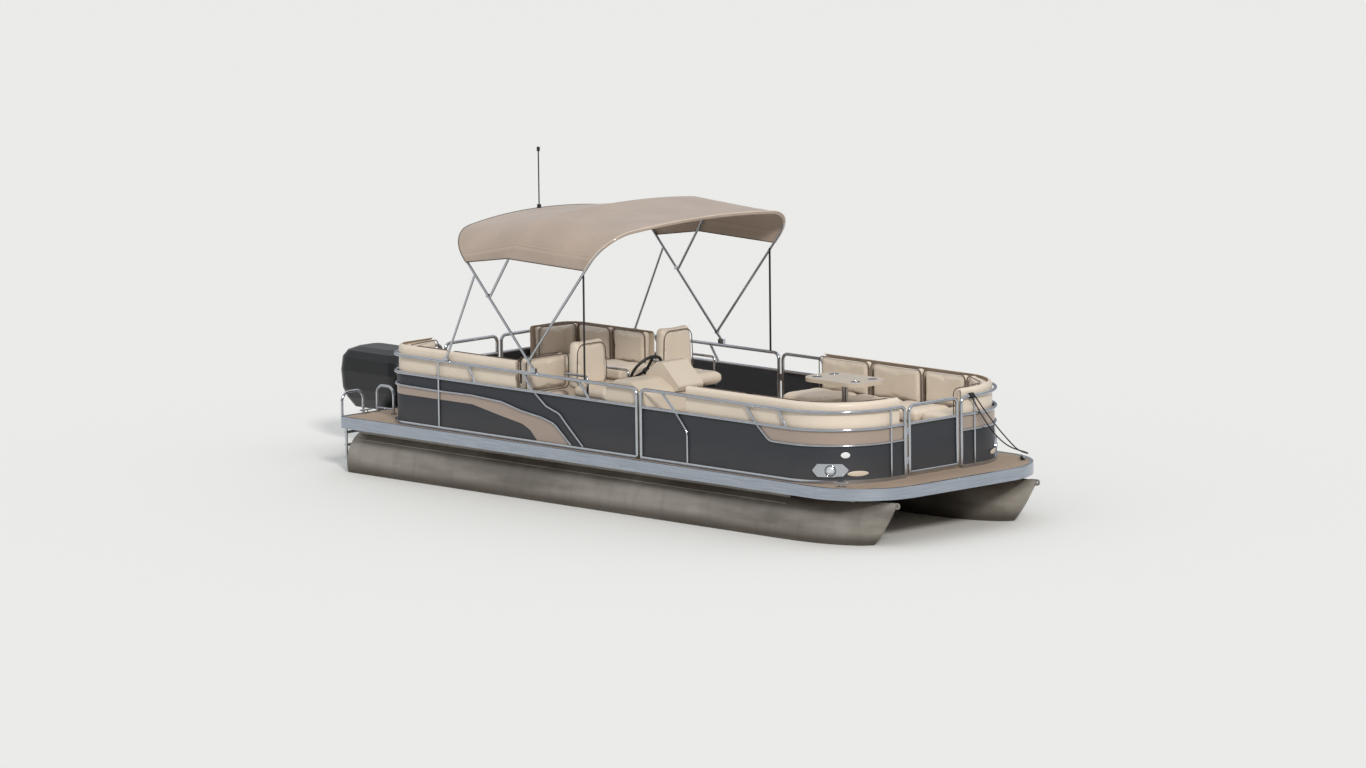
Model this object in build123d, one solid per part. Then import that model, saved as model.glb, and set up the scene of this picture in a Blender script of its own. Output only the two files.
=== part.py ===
from build123d import *
from math import atan, cos, hypot, radians, sin, sqrt, tan
import os

os.makedirs("parts", exist_ok=True)

# Frame: origin on the waterline amidships, X to the bow, Y to port, Z up.

# Hull and deck
deck_length = 7010
beam = 2590
deck_top = 540
board = 20
rim_height = 105
cross_height = 75
tube_diameter = 610
tube_spacing = 1815
tube_axis = 95
bow_corner = 672
stern_corner = 60
notch_half = 400
notch_depth = 420
nose_length = 1250
tube_start = 20

# Fence
fence_inset = 67
rail_size = 32
rail_top = 655
rail_mid = 490
base_rail = 35
panel_sheet = 3
panel_set = 12.3
trim_size = 20
gate_gap = 55
bow_setback = 383
fence_stern = 554
stern_bend = 250
bow_bend = 664
bow_join = 4041
join_gap = 56
port_join = 3394
bow_gate_half = 310
stern_gate_ends = (-430, 240)

# Canopy
canopy_overhang = 29
canopy_sheet = 3
bow_tube = 25

# Outboard motor
motor_set = 100
tilt_axis_x = -190
tilt_axis_z = 470
steer_axis_x = -310
shaft_z = -330
prop_radius = 150
pin_play = 0.05

# Clearances
seat_gap = 0.3

half_beam = beam / 2
stern = -deck_length / 2
bow = deck_length / 2
tube_radius = tube_diameter / 2
tube_side = tube_spacing / 2
rim_bottom = deck_top - rim_height
cross_top = deck_top - board
cross_bottom = cross_top - cross_height
rail_line = half_beam - fence_inset - rail_size / 2
stern_line = stern + fence_stern + rail_size / 2
bow_line = bow - bow_setback - rail_size / 2
nose_start = deck_length - nose_length
riser_end = nose_start + 70
starboard_join = bow_join - join_gap
canopy_half = rail_line + canopy_overhang
motor_x = stern - motor_set


# Helpers

def bent_edges(points, radii):
    """Straight runs joined by tangent arcs."""
    corners = [Vector(*p) for p in points]
    edges = []
    start = corners[0]
    for i in range(1, len(corners) - 1):
        radius = radii[i - 1]
        back = (corners[i - 1] - corners[i]).normalized()
        ahead = (corners[i + 1] - corners[i]).normalized()
        if (back + ahead).length < 0.001:
            continue
        if radius <= 0:
            edges.append(Line(start, corners[i]))
            start = corners[i]
            continue
        half = radians(back.get_angle(ahead) / 2)
        enter = corners[i] + back * (radius / tan(half))
        leave = corners[i] + ahead * (radius / tan(half))
        inward = (back + ahead).normalized()
        middle = corners[i] + inward * (radius / sin(half) - radius)
        if (enter - start).length > 0.01:
            edges.append(Line(start, enter))
        edges.append(ThreePointArc(enter, middle, leave))
        start = leave
    if (corners[-1] - start).length > 0.01:
        edges.append(Line(start, corners[-1]))
    return edges


def closed_face(points, radii):
    """Face of a closed outline with rounded corners."""
    first = Vector(*points[0])
    last = Vector(*points[-1])
    middle = (first + last) * 0.5
    loop = [tuple(middle)] + [tuple(p) for p in points] + [tuple(middle)]
    return make_face(bent_edges(loop, radii))


def plan_slab(points, radii, bottom, top):
    """Plan outline raised from bottom to top."""
    face = closed_face([(x, y, bottom) for x, y in points], radii)
    return extrude(face, top - bottom, dir=(0, 0, 1))


def side_slab(points, radii, right, left):
    """Side outline in X and Z, spread across Y."""
    face = closed_face([(x, right, z) for x, z in points], radii)
    return extrude(face, left - right, dir=(0, 1, 0))


def end_slab(points, radii, aft, fore):
    """End outline in Y and Z, spread along X."""
    face = closed_face([(aft, y, z) for y, z in points], radii)
    return extrude(face, fore - aft, dir=(1, 0, 0))


def block(x0, x1, y0, y1, z0, z1):
    """Plain block between limits."""
    middle = Pos((x0 + x1) / 2, (y0 + y1) / 2, (z0 + z1) / 2)
    return middle * Box(x1 - x0, y1 - y0, z1 - z0)


def rounded(x0, x1, y0, y1, z0, z1, radius):
    """Block with upright corners rounded."""
    points = [(x0, y0), (x1, y0), (x1, y1), (x0, y1)]
    return plan_slab(points, [radius] * 4, z0, z1)


def rod(start, end, diameter):
    """Round bar between two points."""
    start = Vector(*start)
    end = Vector(*end)
    place = Plane(origin=start, z_dir=(end - start))
    return extrude(place * Circle(diameter / 2), (end - start).length)


def tube(points, radii, diameter):
    """Bent tube along straight runs and arcs."""
    path = Wire(bent_edges(points, radii))
    place = Plane(origin=path @ 0, z_dir=path % 0)
    return sweep(place * Circle(diameter / 2), path=path)


def shift_path(points, radii, shift):
    """Plan path moved to its left by shift."""
    sides = []
    for (x0, y0), (x1, y1) in zip(points, points[1:]):
        length = hypot(x1 - x0, y1 - y0)
        nx = -(y1 - y0) / length * shift
        ny = (x1 - x0) / length * shift
        sides.append(((x0 + nx, y0 + ny), (x1 + nx, y1 + ny)))
    moved = [sides[0][0]]
    bends = []
    for (a, b), (c, d), radius in zip(sides, sides[1:], radii):
        ux = b[0] - a[0]
        uy = b[1] - a[1]
        vx = d[0] - c[0]
        vy = d[1] - c[1]
        cross = ux * vy - uy * vx
        along = ((c[0] - a[0]) * vy - (c[1] - a[1]) * vx) / cross
        moved.append((a[0] + ux * along, a[1] + uy * along))
        turn = 1 if cross > 0 else -1
        bends.append(max(radius - turn * shift, 0))
    moved.append(sides[-1][1])
    return moved, bends


def wall(points, radii, left, right, bottom, top):
    """Upright strip along a plan path between two sideways shifts."""
    near_points, near_radii = shift_path(points, radii, left)
    far_points, far_radii = shift_path(points, radii, right)
    near = bent_edges([(x, y, bottom) for x, y in near_points], near_radii)
    far_points.reverse()
    far_radii.reverse()
    far = bent_edges([(x, y, bottom) for x, y in far_points], far_radii)
    ends = [Line(near[-1] @ 1, far[0] @ 0), Line(far[-1] @ 1, near[0] @ 0)]
    face = make_face(near + [ends[0]] + far + [ends[1]])
    return extrude(face, top - bottom, dir=(0, 0, 1))


def fuse(pieces):
    """One shape from a list of pieces."""
    whole = pieces[0]
    for piece in pieces[1:]:
        whole = whole + piece
    return whole


def to_port(shape):
    """Mirror image on the port side."""
    return mirror(shape, about=Plane.XZ)


def gather(pieces):
    """Separate solids in one node."""
    solids = []
    for piece in pieces:
        solids.extend(piece.solids())
    return Compound(children=solids)


# Pontoons

nose_stations = [
    # from the nose's start, top, bottom, half width
    (0, tube_axis + tube_radius, tube_axis - tube_radius, tube_radius),
    (370, 401, -208, 288),
    (690, 403, -170, 228),
    (940, 406, -35, 150),
    (1130, 408, 185, 76),
    (1270, 410, 372, 12),
]
tow_reach = stern + nose_start + 1285


def nose_section(place, top, bottom, half):
    x = stern + nose_start + place
    middle = (top + bottom) / 2
    right = ThreePointArc((x, 0, top), (x, -half, middle), (x, 0, bottom))
    left = ThreePointArc((x, 0, bottom), (x, half, middle), (x, 0, top))
    return make_face([right, left])


def riser_side(side):
    outer = 215
    inner = 150
    sheet = 5
    low = tube_axis + sqrt(tube_radius ** 2 - outer ** 2) - 2
    knee = tube_axis + sqrt(tube_radius ** 2 - inner ** 2) - 2
    points = [(side * outer, low), (side * inner, knee), (side * inner, cross_bottom - sheet)]
    points = points + [(side * 60, cross_bottom - sheet), (side * 60, cross_bottom)]
    points = points + [(side * (inner + sheet), cross_bottom), (side * (inner + sheet), knee + 2)]
    points = points + [(side * outer, low + 7)]
    return end_slab(points, [0] * 8, stern + 40, stern + riser_end)


def nose_rail():
    points = [(-60, 380), (60, 380), (60, cross_bottom), (-60, cross_bottom)]
    return end_slab(points, [0] * 4, stern + riser_end - 40, stern + nose_start + 800)


def tow_eye():
    reach = tow_reach
    plate = side_slab(
        [(reach - 90, 350), (reach + 28, 362), (reach + 28, 418), (reach - 90, 412)],
        [0, 26, 26, 0], -6, 6)
    hole = rod((reach, -20, 390), (reach, 20, 390), 24)
    return plate - hole


def pontoon():
    barrel = rod((stern + tube_start, 0, tube_axis), (stern + nose_start, 0, tube_axis), tube_diameter)
    nose = loft([nose_section(*row) for row in nose_stations])
    keel_z = tube_axis - tube_radius
    keel = block(stern + 250, stern + nose_start + 100, -10, 10, keel_z - 18, keel_z + 20)
    hole = rod((tow_reach, -20, 390), (tow_reach, 20, 390), 24)
    whole = fuse([barrel, nose, keel, riser_side(1), riser_side(-1), nose_rail(), tow_eye()])
    return whole - hole


# Deck, rim and cross members

def deck_path(shift):
    start = (stern, half_beam - 300)
    points = [start, (stern, half_beam), (bow, half_beam), (bow, -half_beam), (stern, -half_beam)]
    points = points + [(stern, -notch_half), (stern + notch_depth, -notch_half)]
    points = points + [(stern + notch_depth, notch_half), (stern, notch_half), start]
    radii = [stern_corner, bow_corner, bow_corner, stern_corner, 50, 60, 60, 50]
    return shift_path(points, radii, shift)


def deck_face(shift, height):
    points, radii = deck_path(shift)
    return make_face(bent_edges([(x, y, height) for x, y in points], radii))


def deck_ring(width, bottom, top):
    outer = extrude(deck_face(0, bottom), top - bottom, dir=(0, 0, 1))
    inner = extrude(deck_face(-width, bottom), top - bottom, dir=(0, 0, 1))
    return outer - inner


def deck():
    return extrude(deck_face(-10, cross_top), board, dir=(0, 0, 1))


def deck_rim():
    skin = deck_ring(10, rim_bottom, deck_top)
    lip = deck_ring(32, deck_top, deck_top + 4)
    flange = deck_ring(40, rim_bottom, rim_bottom + 5)
    return fuse([skin, lip, flange])


cross_count = 17
cross_first = 100
cross_last = deck_length - 318
cross_pitch = (cross_last - cross_first) / (cross_count - 1)


def half_width(place):
    over = place - (deck_length - bow_corner)
    if over <= 0:
        return half_beam
    return half_beam - bow_corner + sqrt(max(bow_corner ** 2 - over ** 2, 0))


def channel(x, y0, y1):
    z0 = cross_bottom
    z1 = cross_top
    points = [(x, z0), (x + 38, z0), (x + 38, z0 + 4), (x + 4, z0 + 4)]
    points = points + [(x + 4, z1 - 4), (x + 38, z1 - 4), (x + 38, z1), (x, z1)]
    return side_slab(points, [0] * 8, y0, y1)


def crossmembers():
    bars = []
    for i in range(cross_count):
        place = cross_first + cross_pitch * i
        reach = half_width(place + 38) - 45
        if place < notch_depth + 45:
            bars.append(channel(stern + place, -reach, -notch_half - 45))
            bars.append(channel(stern + place, notch_half + 45, reach))
        else:
            bars.append(channel(stern + place, -reach, reach))
    return gather(bars)


def motor_pod():
    rear = motor_x - 150
    points = [(rear, -40), (stern + 350, -70), (stern + 1050, 230), (stern + 1050, cross_bottom)]
    points = points + [(stern + notch_depth + 60, cross_bottom), (stern + notch_depth + 45, 428), (rear, 420)]
    body = side_slab(points, [0] * 7, -330, 330)
    wing = block(stern + notch_depth + 60, stern + 1000, -560, 560, cross_bottom - 30, cross_bottom)
    transom = block(rear - 4, rear + 40, -300, 300, -20, 430)
    return fuse([body, wing, transom])


# Fence

def starboard_aft_path():
    points = [(stern_line, stern_gate_ends[0] - gate_gap), (stern_line, -rail_line)]
    return points + [(stern + starboard_join, -rail_line)], [stern_bend]


def port_aft_path():
    points = [(stern_line, stern_gate_ends[1] + gate_gap), (stern_line, rail_line)]
    return points + [(stern + port_join, rail_line)], [stern_bend]


def bow_path():
    points = [(stern + bow_join, -rail_line), (bow_line, -rail_line)]
    return points + [(bow_line, -bow_gate_half - gate_gap)], [bow_bend]


def fence_rails(path, struts):
    """Base, middle and top rails with end posts and slanted struts."""
    points, radii = path
    half = rail_size / 2
    low = deck_top + base_rail - 5
    level = [(x, y, deck_top + rail_top) for x, y in points]
    loop = [(points[0][0], points[0][1], low)] + level + [(points[-1][0], points[-1][1], low)]
    top = tube(loop, [60] + radii + [60], rail_size)
    middle = tube([(x, y, deck_top + rail_mid) for x, y in points], radii, rail_size - 2)
    base = wall(points, radii, half, -half, deck_top, deck_top + base_rail)
    pieces = [base, top, middle]
    side = points[1][1]
    for x_top, x_low in struts:
        high = (stern + x_top, side, deck_top + rail_top)
        low_end = (stern + x_low, side, deck_top + rail_mid)
        pieces.append(rod(high, low_end, 24))
    return pieces


def inner_posts(side, places):
    sign = 1 if side > 0 else -1
    posts = []
    for place in places:
        x = stern + place
        y = side - sign * (panel_set + panel_sheet + 8 + seat_gap)
        low = (x, side, deck_top + base_rail / 2)
        high = (x, side, deck_top + rail_mid)
        knee_low = (x, y, deck_top + base_rail / 2)
        knee_high = (x, y, deck_top + rail_mid)
        posts.append(tube([low, knee_low, knee_high, high], [9, 9], 16))
    return posts


def strip_post(x, y, size):
    """Slim post from the base to the top rail."""
    return rod((x, y, deck_top + base_rail / 2), (x, y, deck_top + rail_top), size)


aft_struts = [(1723, 1815), (2471, 2589), (3211, 3355)]
bow_struts = [
    (bow_join + 271, bow_join + 453),
    (deck_length - 1600, deck_length - 1460),
    (deck_length - 1173, deck_length - 1073),
]
aft_post = 1312
bow_post = 540


def fence_aft_starboard():
    pieces = fence_rails(starboard_aft_path(), aft_struts) + aft_trims(starboard_aft_path())
    pieces.append(strip_post(stern + aft_post, -rail_line, 20))
    return fuse(pieces + inner_posts(-rail_line, [2230, bow_join - 541]))


def fence_aft_port():
    pieces = fence_rails(port_aft_path(), aft_struts[:2]) + aft_trims(port_aft_path())
    pieces.append(strip_post(stern + aft_post, rail_line, 20))
    return fuse(pieces + inner_posts(rail_line, [2230]))


def fence_bow(extra):
    pieces = fence_rails(bow_path(), bow_struts) + bow_trims()
    pieces = pieces + inner_posts(-rail_line, [deck_length - 2030, deck_length - 1310])
    pieces.append(strip_post(bow_line, -bow_post, 18))
    return fuse(pieces + extra)


def panel(path):
    """Dark sheet set just inside the middle line of the rails."""
    points, radii = path
    (x0, y0), (x1, y1) = points[0], points[1]
    inset = 10.3 + seat_gap
    start = (x0, y0 + inset * (1 if y1 > y0 else -1)) if x0 == x1 else (x0 + inset, y0)
    (x2, y2), (x3, y3) = points[-2], points[-1]
    end = (x3 - inset, y3) if y2 == y3 else (x3, y3 - inset * (1 if y3 > y2 else -1))
    trimmed = [start] + points[1:-1] + [end]
    turn = (x1 - x0) * (y3 - y2) - (y1 - y0) * (x3 - x2)
    sign = 1 if turn > 0 else -1
    low = deck_top + base_rail
    high = deck_top + rail_mid - 9
    return wall(trimmed, radii, sign * panel_set, sign * (panel_set + panel_sheet), low, high)


def fence_panels():
    sheets = [panel(starboard_aft_path()), panel(port_aft_path())]
    sheets.append(panel(bow_path()))
    sheets.append(to_port(panel(bow_path())))
    return gather(sheets)


# Accent bands and trims on the fence

trim_height = 374
trim_upper = [(1305, 366), (1760, 370), (2166, 350), (2436, 292), (2705, 258)]
trim_upper = trim_upper + [(2879, 215), (3103, 35)]
band_start = 850
band_low = 285
band_lower = [(2632, 35), (2540, 124), (2433, 170), (2163, 213), (1756, 285), (1303, band_low)]
band_lower = band_lower + [(band_start, band_low)]
trim_second = [(2629, 474), (2775, 369), (2949, 316), (3041, 231), (3264, 35)]
hip_trim = [(bow_join + 453, rail_mid), (bow_join + 607, 321), (bow_join + 607, 25)]
bow_trim_top = deck_length - 1465
bow_trim_low = deck_length - 1294
bow_trim_height = 347


def side_trim(points, radius, side):
    route = [(stern + x, side, deck_top + z) for x, z in points]
    return tube(route, [radius] * (len(route) - 2), trim_size)


def aft_trims(path):
    points, radii = path
    side = points[1][1]
    height = deck_top + trim_height
    route = [(points[0][0], points[0][1], height), (points[1][0], side, height)]
    route = route + [(stern + x, side, deck_top + z) for x, z in trim_upper]
    bends = radii + [200] * (len(route) - 3)
    return [tube(route, bends, trim_size), side_trim(trim_second, 120, side)]


def bow_trims():
    height = deck_top + bow_trim_height
    route = [(stern + bow_trim_top, -rail_line, deck_top + rail_mid)]
    route.append((stern + bow_trim_low, -rail_line, height))
    route.append((bow_line, -rail_line, height))
    route.append((bow_line, -bow_gate_half - gate_gap, height))
    return [tube(route, [120, bow_bend], trim_size), side_trim(hip_trim, 120, -rail_line)]


def aft_band(path):
    """Tan band below the upper trim, from the stern post round the bend."""
    corners, bends = path
    side = corners[1][1]
    sign = 1 if side > 0 else -1
    face = side - sign * panel_set
    outline = [(band_start, trim_height - 1)] + trim_upper + band_lower
    points = [(stern + x, deck_top + z) for x, z in outline]
    radii = [0] + [120] * (len(outline) - 2) + [0]
    radii[len(trim_upper)] = 0
    radii[len(trim_upper) + 1] = 0
    y0 = min(face, face + sign * 2)
    flat = side_slab(points, radii, y0, y0 + 2)
    first = (corners[0][0], corners[0][1] + sign * 15)
    route = [first, corners[1], (stern + band_start, side)]
    low = deck_top + band_low
    high = deck_top + trim_height - 1
    bend = wall(route, bends, -sign * (panel_set - 2), -sign * panel_set, low, high)
    return flat + bend


def bow_band():
    points, radii = bow_path()
    start = (stern + bow_trim_low + 184, points[0][1])
    end = (points[-1][0], points[-1][1] - 15)
    outer = panel_set - 2
    high = deck_top + rail_mid - 11
    low = deck_top + bow_trim_height
    strip = wall([start, points[1], end], radii, panel_set, outer, low, high)
    fore = bow_trim_low + 184
    tip = [(bow_trim_top + 15, rail_mid - 11), (bow_trim_low, bow_trim_height)]
    tip = tip + [(fore, bow_trim_height), (fore, rail_mid - 11)]
    wedge_points = [(stern + x, deck_top + z) for x, z in tip]
    y0 = -rail_line + outer
    wedge = side_slab(wedge_points, [0, 60, 0, 0], y0, y0 + 2)
    return strip + wedge


# Gates

def gate(width):
    """Gate in the YZ plane from its hinge line, reaching along +Y."""
    start = gate_gap / 2
    end = start + width
    low = deck_top + 45
    high = deck_top + rail_top
    half = rail_size / 2
    posts = tube([(0, start, low), (0, start, high), (0, end, high), (0, end, low)], [60, 60], rail_size)
    bottom = rod((0, start, low), (0, end, low), rail_size - 4)
    middle = rod((0, start, deck_top + rail_mid), (0, end, deck_top + rail_mid), rail_size - 2)
    caps = [Pos(0, start, low) * Sphere(half), Pos(0, end, low) * Sphere(half)]
    knuckles = []
    for z in [deck_top + 150, deck_top + 420]:
        knuckles.append(rod((0, 0, z), (0, 0, z + 40), 18))
        knuckles.append(block(-5, 5, 4, start, z, z + 40))
    whole = fuse([posts, bottom, middle] + caps + knuckles)
    return whole - rod((0, 0, deck_top + 100), (0, 0, deck_top + 500), 8 + 2 * pin_play)


def gate_sheet(width, outward):
    start = gate_gap / 2
    low = deck_top + 45 + 7
    high = deck_top + rail_mid - 9
    x0 = min(-outward * panel_set, -outward * (panel_set + panel_sheet))
    inset = 10.3 + seat_gap
    return block(x0, x0 + panel_sheet, start + inset, start + width - inset, low, high)


def hinge_pins(side):
    """Fixed knuckles and pins of a gate, seen from its hinge line."""
    pieces = []
    for z in [deck_top + 150, deck_top + 420]:
        pieces.append(rod((0, 0, z - 24), (0, 0, z + 41), 8))
        pieces.append(rod((0, 0, z - 24), (0, 0, z - 1), 18))
        y0 = min(-4 * side, -gate_gap / 2 * side)
        pieces.append(block(-5, 5, y0, y0 + gate_gap / 2 - 4, z - 24, z - 1))
    return pieces


bow_gate_width = 2 * bow_gate_half
stern_gate_width = stern_gate_ends[1] - stern_gate_ends[0]
side_gate_width = bow_join - port_join - 2 * gate_gap
bow_gate_place = Pos(bow_line, -bow_gate_half - gate_gap / 2, 0)
stern_gate_place = Pos(stern_line, stern_gate_ends[0] - gate_gap / 2, 0)
side_gate_place = Pos(stern + port_join + gate_gap / 2, rail_line, 0) * Rot(0, 0, -90)


# Deck fittings

def cleat(x, y, turn):
    foot = rounded(-45, 45, -14, 14, 0, 8, 10)
    legs = [rod((-22, 0, 4), (-22, 0, 34), 14), rod((22, 0, 4), (22, 0, 34), 14)]
    horn = rod((-75, 0, 36), (75, 0, 36), 16)
    return Pos(x, y, deck_top) * Rot(0, 0, turn) * fuse([foot, horn] + legs)


cleat_places = [
    # x from stern, y, turn
    (deck_length - 453, 160 - half_beam, 25),
    (deck_length - 310, half_beam - 220, -35),
    (48, 310 - half_beam, 90),
    (48, half_beam - 310, 90),
]


def cleats():
    return gather([cleat(stern + x, y, turn) for x, y, turn in cleat_places])


lamp_angle = 38
lamp_half = 170
lamp_height = 122


def docking_lights():
    """Six-sided lamp housing bent round the bow corner."""
    points, radii = bow_path()
    ring = wall(points, radii, panel_set, -8, deck_top + 50, deck_top + 190)
    outline = [(-lamp_half, 0), (-lamp_half + 50, 62), (lamp_half - 60, 62)]
    outline = outline + [(lamp_half, 5), (lamp_half - 60, -58), (-lamp_half + 50, -58)]
    face = closed_face([(0, u, v) for u, v in outline], [14] * 6)
    prism = extrude(face, 200, dir=(1, 0, 0))
    centre = Pos(bow_line - bow_bend, -rail_line + bow_bend, deck_top + lamp_height)
    placed = centre * Rot(0, 0, -90 + lamp_angle) * Pos(bow_bend - 100, 0, 0) * prism
    lamp = ring & placed
    return gather([lamp, to_port(lamp)])


# Seats

seat_base_top = 300
seat_top = 430
back_depth = 123
back_outer = rail_line - rail_size
back_inner = back_outer - back_depth
back_middle = (back_outer + back_inner) / 2
back_set = rail_line - back_middle
aft_edge = back_outer - 600
bow_edge = back_outer - 640
lounge_fore = bow_line - stern - back_set - back_depth / 2
back_bend = bow_bend - back_set
lounges = [
    # name, aft end, fore end, inner edge, side sign, back height
    ("aft starboard", 640, 2480, aft_edge, -1, 750),
    ("aft port", 640, 1900, aft_edge, 1, 718),
    ("bow starboard", deck_length - 2410, lounge_fore, bow_edge, -1, 740),
    ("bow port", deck_length - 2950, lounge_fore, bow_edge, 1, 728),
]


def lounge_plan(x0, x1, inner, outer, sign, corner):
    points = [(x0, inner), (x1, inner), (x1, outer), (x0, outer)]
    return [(stern + x, sign * y) for x, y in points], corner


def lounge_base(name, aft, fore, inner, sign, high):
    corner = [30, 40, 470, 40] if name.startswith("bow") else [40, 40, 40, 200]
    points, radii = lounge_plan(aft + 20, fore - 20, inner + 40, back_outer - 30, sign, corner)
    return plan_slab(points, radii, deck_top, deck_top + seat_base_top)


def lounge_cushion(name, aft, fore, inner, sign, high):
    corner = [60, 4, back_bend - back_depth / 2 + 2, 30]
    start = aft
    if name.startswith("aft"):
        corner = [60, 60, 30, 110]
        start = stern_line - stern + back_set + back_depth / 2
    points, radii = lounge_plan(start, fore, inner, back_inner, sign, corner)
    return plan_slab(points, radii, deck_top + seat_base_top, deck_top + seat_top)


def lounge_back(name, aft, fore, inner, sign, high):
    middle = back_middle
    half = back_depth / 2 - seat_gap
    low = deck_top + seat_base_top + 60
    top = deck_top + high
    if name.startswith("bow"):
        line = bow_line - back_set
        points = [(stern + aft, sign * middle), (line, sign * middle), (line, sign * (inner - 140))]
        return wall(points, [back_bend], half, -half, low, top)
    line = stern_line + back_set
    points = [(line, sign * (inner + 60)), (line, sign * middle), (stern + fore - 150, sign * middle)]
    return wall(points, [stern_bend - back_set], half, -half, low, top)


def end_backs():
    """Back across the fore end of the starboard aft lounge."""
    x0 = stern + 2340
    low = deck_top + seat_top + seat_gap
    return rounded(x0, x0 + 130, -back_outer, -600, low, deck_top + 790, 50)


def seat_bases():
    return gather([lounge_base(*row) for row in lounges])


def seat_cushions():
    return gather([lounge_cushion(*row) for row in lounges])


def seat_backs():
    return gather([lounge_back(*row) for row in lounges])


# Swivel chairs

chair_places = [(2930, -620), (2930, 500)]
chair_seat = 400


def chair_frame():
    plate = rounded(-190, 190, -190, 190, deck_top + chair_seat - 30, deck_top + chair_seat - 6, 40)
    pin = rod((0, 0, deck_top + chair_seat - 110), (0, 0, deck_top + chair_seat - 20), 40)
    hub = rod((0, 0, deck_top + chair_seat - 55), (0, 0, deck_top + chair_seat - 20), 120)
    arms = []
    for side in (-1, 1):
        y = side * 262
        low = deck_top + chair_seat - 20
        high = deck_top + 630
        route = [(60, side * 150, low), (60, y, low), (60, y, high), (-230, y, high)]
        arms.append(tube(route, [40, 40], 24))
    return fuse([plate, pin, hub] + arms)


def chair_pad():
    level = deck_top + chair_seat
    seat = rounded(-230, 250, -235, 235, level - 6 + seat_gap, level + 120, 90)
    low = level + 60
    high = deck_top + 940
    back = end_slab([(-235, low), (235, low), (195, high), (-195, high)], [40, 40, 120, 120], -290, -150)
    return seat + back


def chair_pedestals():
    posts = []
    for x, y in chair_places:
        base = rod((stern + x, y, deck_top), (stern + x, y, deck_top + 18), 300)
        stem = rod((stern + x, y, deck_top), (stern + x, y, deck_top + chair_seat - 56), 76)
        bore = rod((stern + x, y, deck_top + 100), (stern + x, y, deck_top + 400), 40 + 2 * pin_play)
        posts.append(base + stem - bore)
    return gather(posts)


# Helm console, wheel and table

wheel_x = 3500
wheel_y = -620
wheel_z = 708
wheel_lean = 35
console_width = 755


def console():
    right = -back_outer - 5
    points = [(3620, 0), (3600, 380), (3530, 520), (3560, 640), (3700, 712), (3860, 706)]
    points = points + [(4050, 610), (4100, 430), (4100, 0)]
    placed = [(stern + x, deck_top + z) for x, z in points]
    body = side_slab(placed, [0, 60, 50, 40, 90, 120, 90, 60, 0], right, right + console_width)
    hood = [(3610, 600), (3690, 740), (3820, 842), (3890, 842), (4110, 636), (4090, 590)]
    hood_placed = [(stern + x, deck_top + z) for x, z in hood]
    pod = side_slab(hood_placed, [0, 60, 40, 40, 30, 0], wheel_y - 170, right + console_width - 40)
    body = body + pod
    shaft_hole = wheel_place() * rod((0, 0, -200), (0, 0, -20), 24 + 2 * pin_play)
    return body - shaft_hole


def wheel_place():
    return Pos(stern + wheel_x, wheel_y, deck_top + wheel_z) * Rot(0, wheel_lean - 90, 0)


def steering_wheel():
    rim = Torus(170, 14)
    hub = rod((0, 0, -40), (0, 0, 12), 70)
    shaft = rod((0, 0, -150), (0, 0, -30), 24)
    spokes = []
    for turn in (0, 120, 240):
        spoke = block(20, 165, -16, 16, -6, 4)
        spokes.append(Rot(0, 0, turn) * spoke)
    return wheel_place() * fuse([rim, hub, shaft] + spokes)


table_x = deck_length - 2010
table_y = 480
table_height = 625


def table_top():
    x = stern + table_x
    low = deck_top + table_height
    return rounded(x - 380, x + 380, table_y - 230, table_y + 230, low, low + 35, 160)


def table_pedestal():
    x = stern + table_x
    foot = rod((x, table_y, deck_top), (x, table_y, deck_top + 15), 180)
    stem = rod((x, table_y, deck_top), (x, table_y, deck_top + table_height - 10), 60)
    head = rod((x, table_y, deck_top + table_height - 20), (x, table_y, deck_top + table_height), 180)
    return fuse([foot, stem, head])


# Canopy and its frame

canopy_bows = {
    # x and z of the crown's corner, lean, height of the side, drop and radius of the crown
    "rear": (1363.4, 2028, -0.946, 551.5, 200, 5200),
    "second": (2635.7, 2196, 0.68, 586, 160, 7000),
    "front": (3719, 2140, 0.85, 590, 160, 7000),
}
corner_bend = 380


def bow_plane(x, z, lean):
    return Plane(origin=(stern + x, 0, deck_top + z), x_dir=(0, 1, 0), z_dir=(1, 0, -lean))


def arch(side, drop, crown_radius, inset):
    """Arch of a canopy bow in its own plane."""
    points = [(-canopy_half, -side), (-canopy_half, -drop), (0, 0)]
    points = points + [(canopy_half, -drop), (canopy_half, -side)]
    return shift_path(points, [corner_bend, crown_radius, corner_bend], -inset)


def canopy_section(x, z, lean, side, drop, radius):
    outer, outer_radii = arch(side, drop, radius, 0)
    inner, inner_radii = arch(side, drop, radius, canopy_sheet)
    near = bent_edges([(u, v, 0) for u, v in outer], outer_radii)
    inner.reverse()
    inner_radii.reverse()
    far = bent_edges([(u, v, 0) for u, v in inner], inner_radii)
    ends = [Line(near[-1] @ 1, far[0] @ 0), Line(far[-1] @ 1, near[0] @ 0)]
    return bow_plane(x, z, lean) * make_face(near + [ends[0]] + far + [ends[1]])


def canopy():
    sections = [canopy_section(*canopy_bows[name]) for name in ("rear", "second", "front")]
    aft = loft(sections[:2], ruled=True)
    fore = loft(sections[1:], ruled=True)
    return aft + fore


# Distance from the fabric to a bow's middle along its plane, in tube radii
bow_rests = {"rear": 1.2262, "second": 1.37, "front": 1.2618}


def bow_inset(name):
    return canopy_sheet + (bow_tube / 2 + seat_gap) * bow_rests[name]


def bow_hoop(name, reach):
    """Bent tube of a canopy bow whose legs reach down its plane."""
    x, z, lean, side, drop, radius = canopy_bows[name]
    points, radii = arch(reach, drop, radius, bow_inset(name))
    plane = bow_plane(x, z, lean)
    route = [tuple(plane.from_local_coords(Vector(u, v, 0))) for u, v in points]
    return tube(route, radii, bow_tube)


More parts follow.
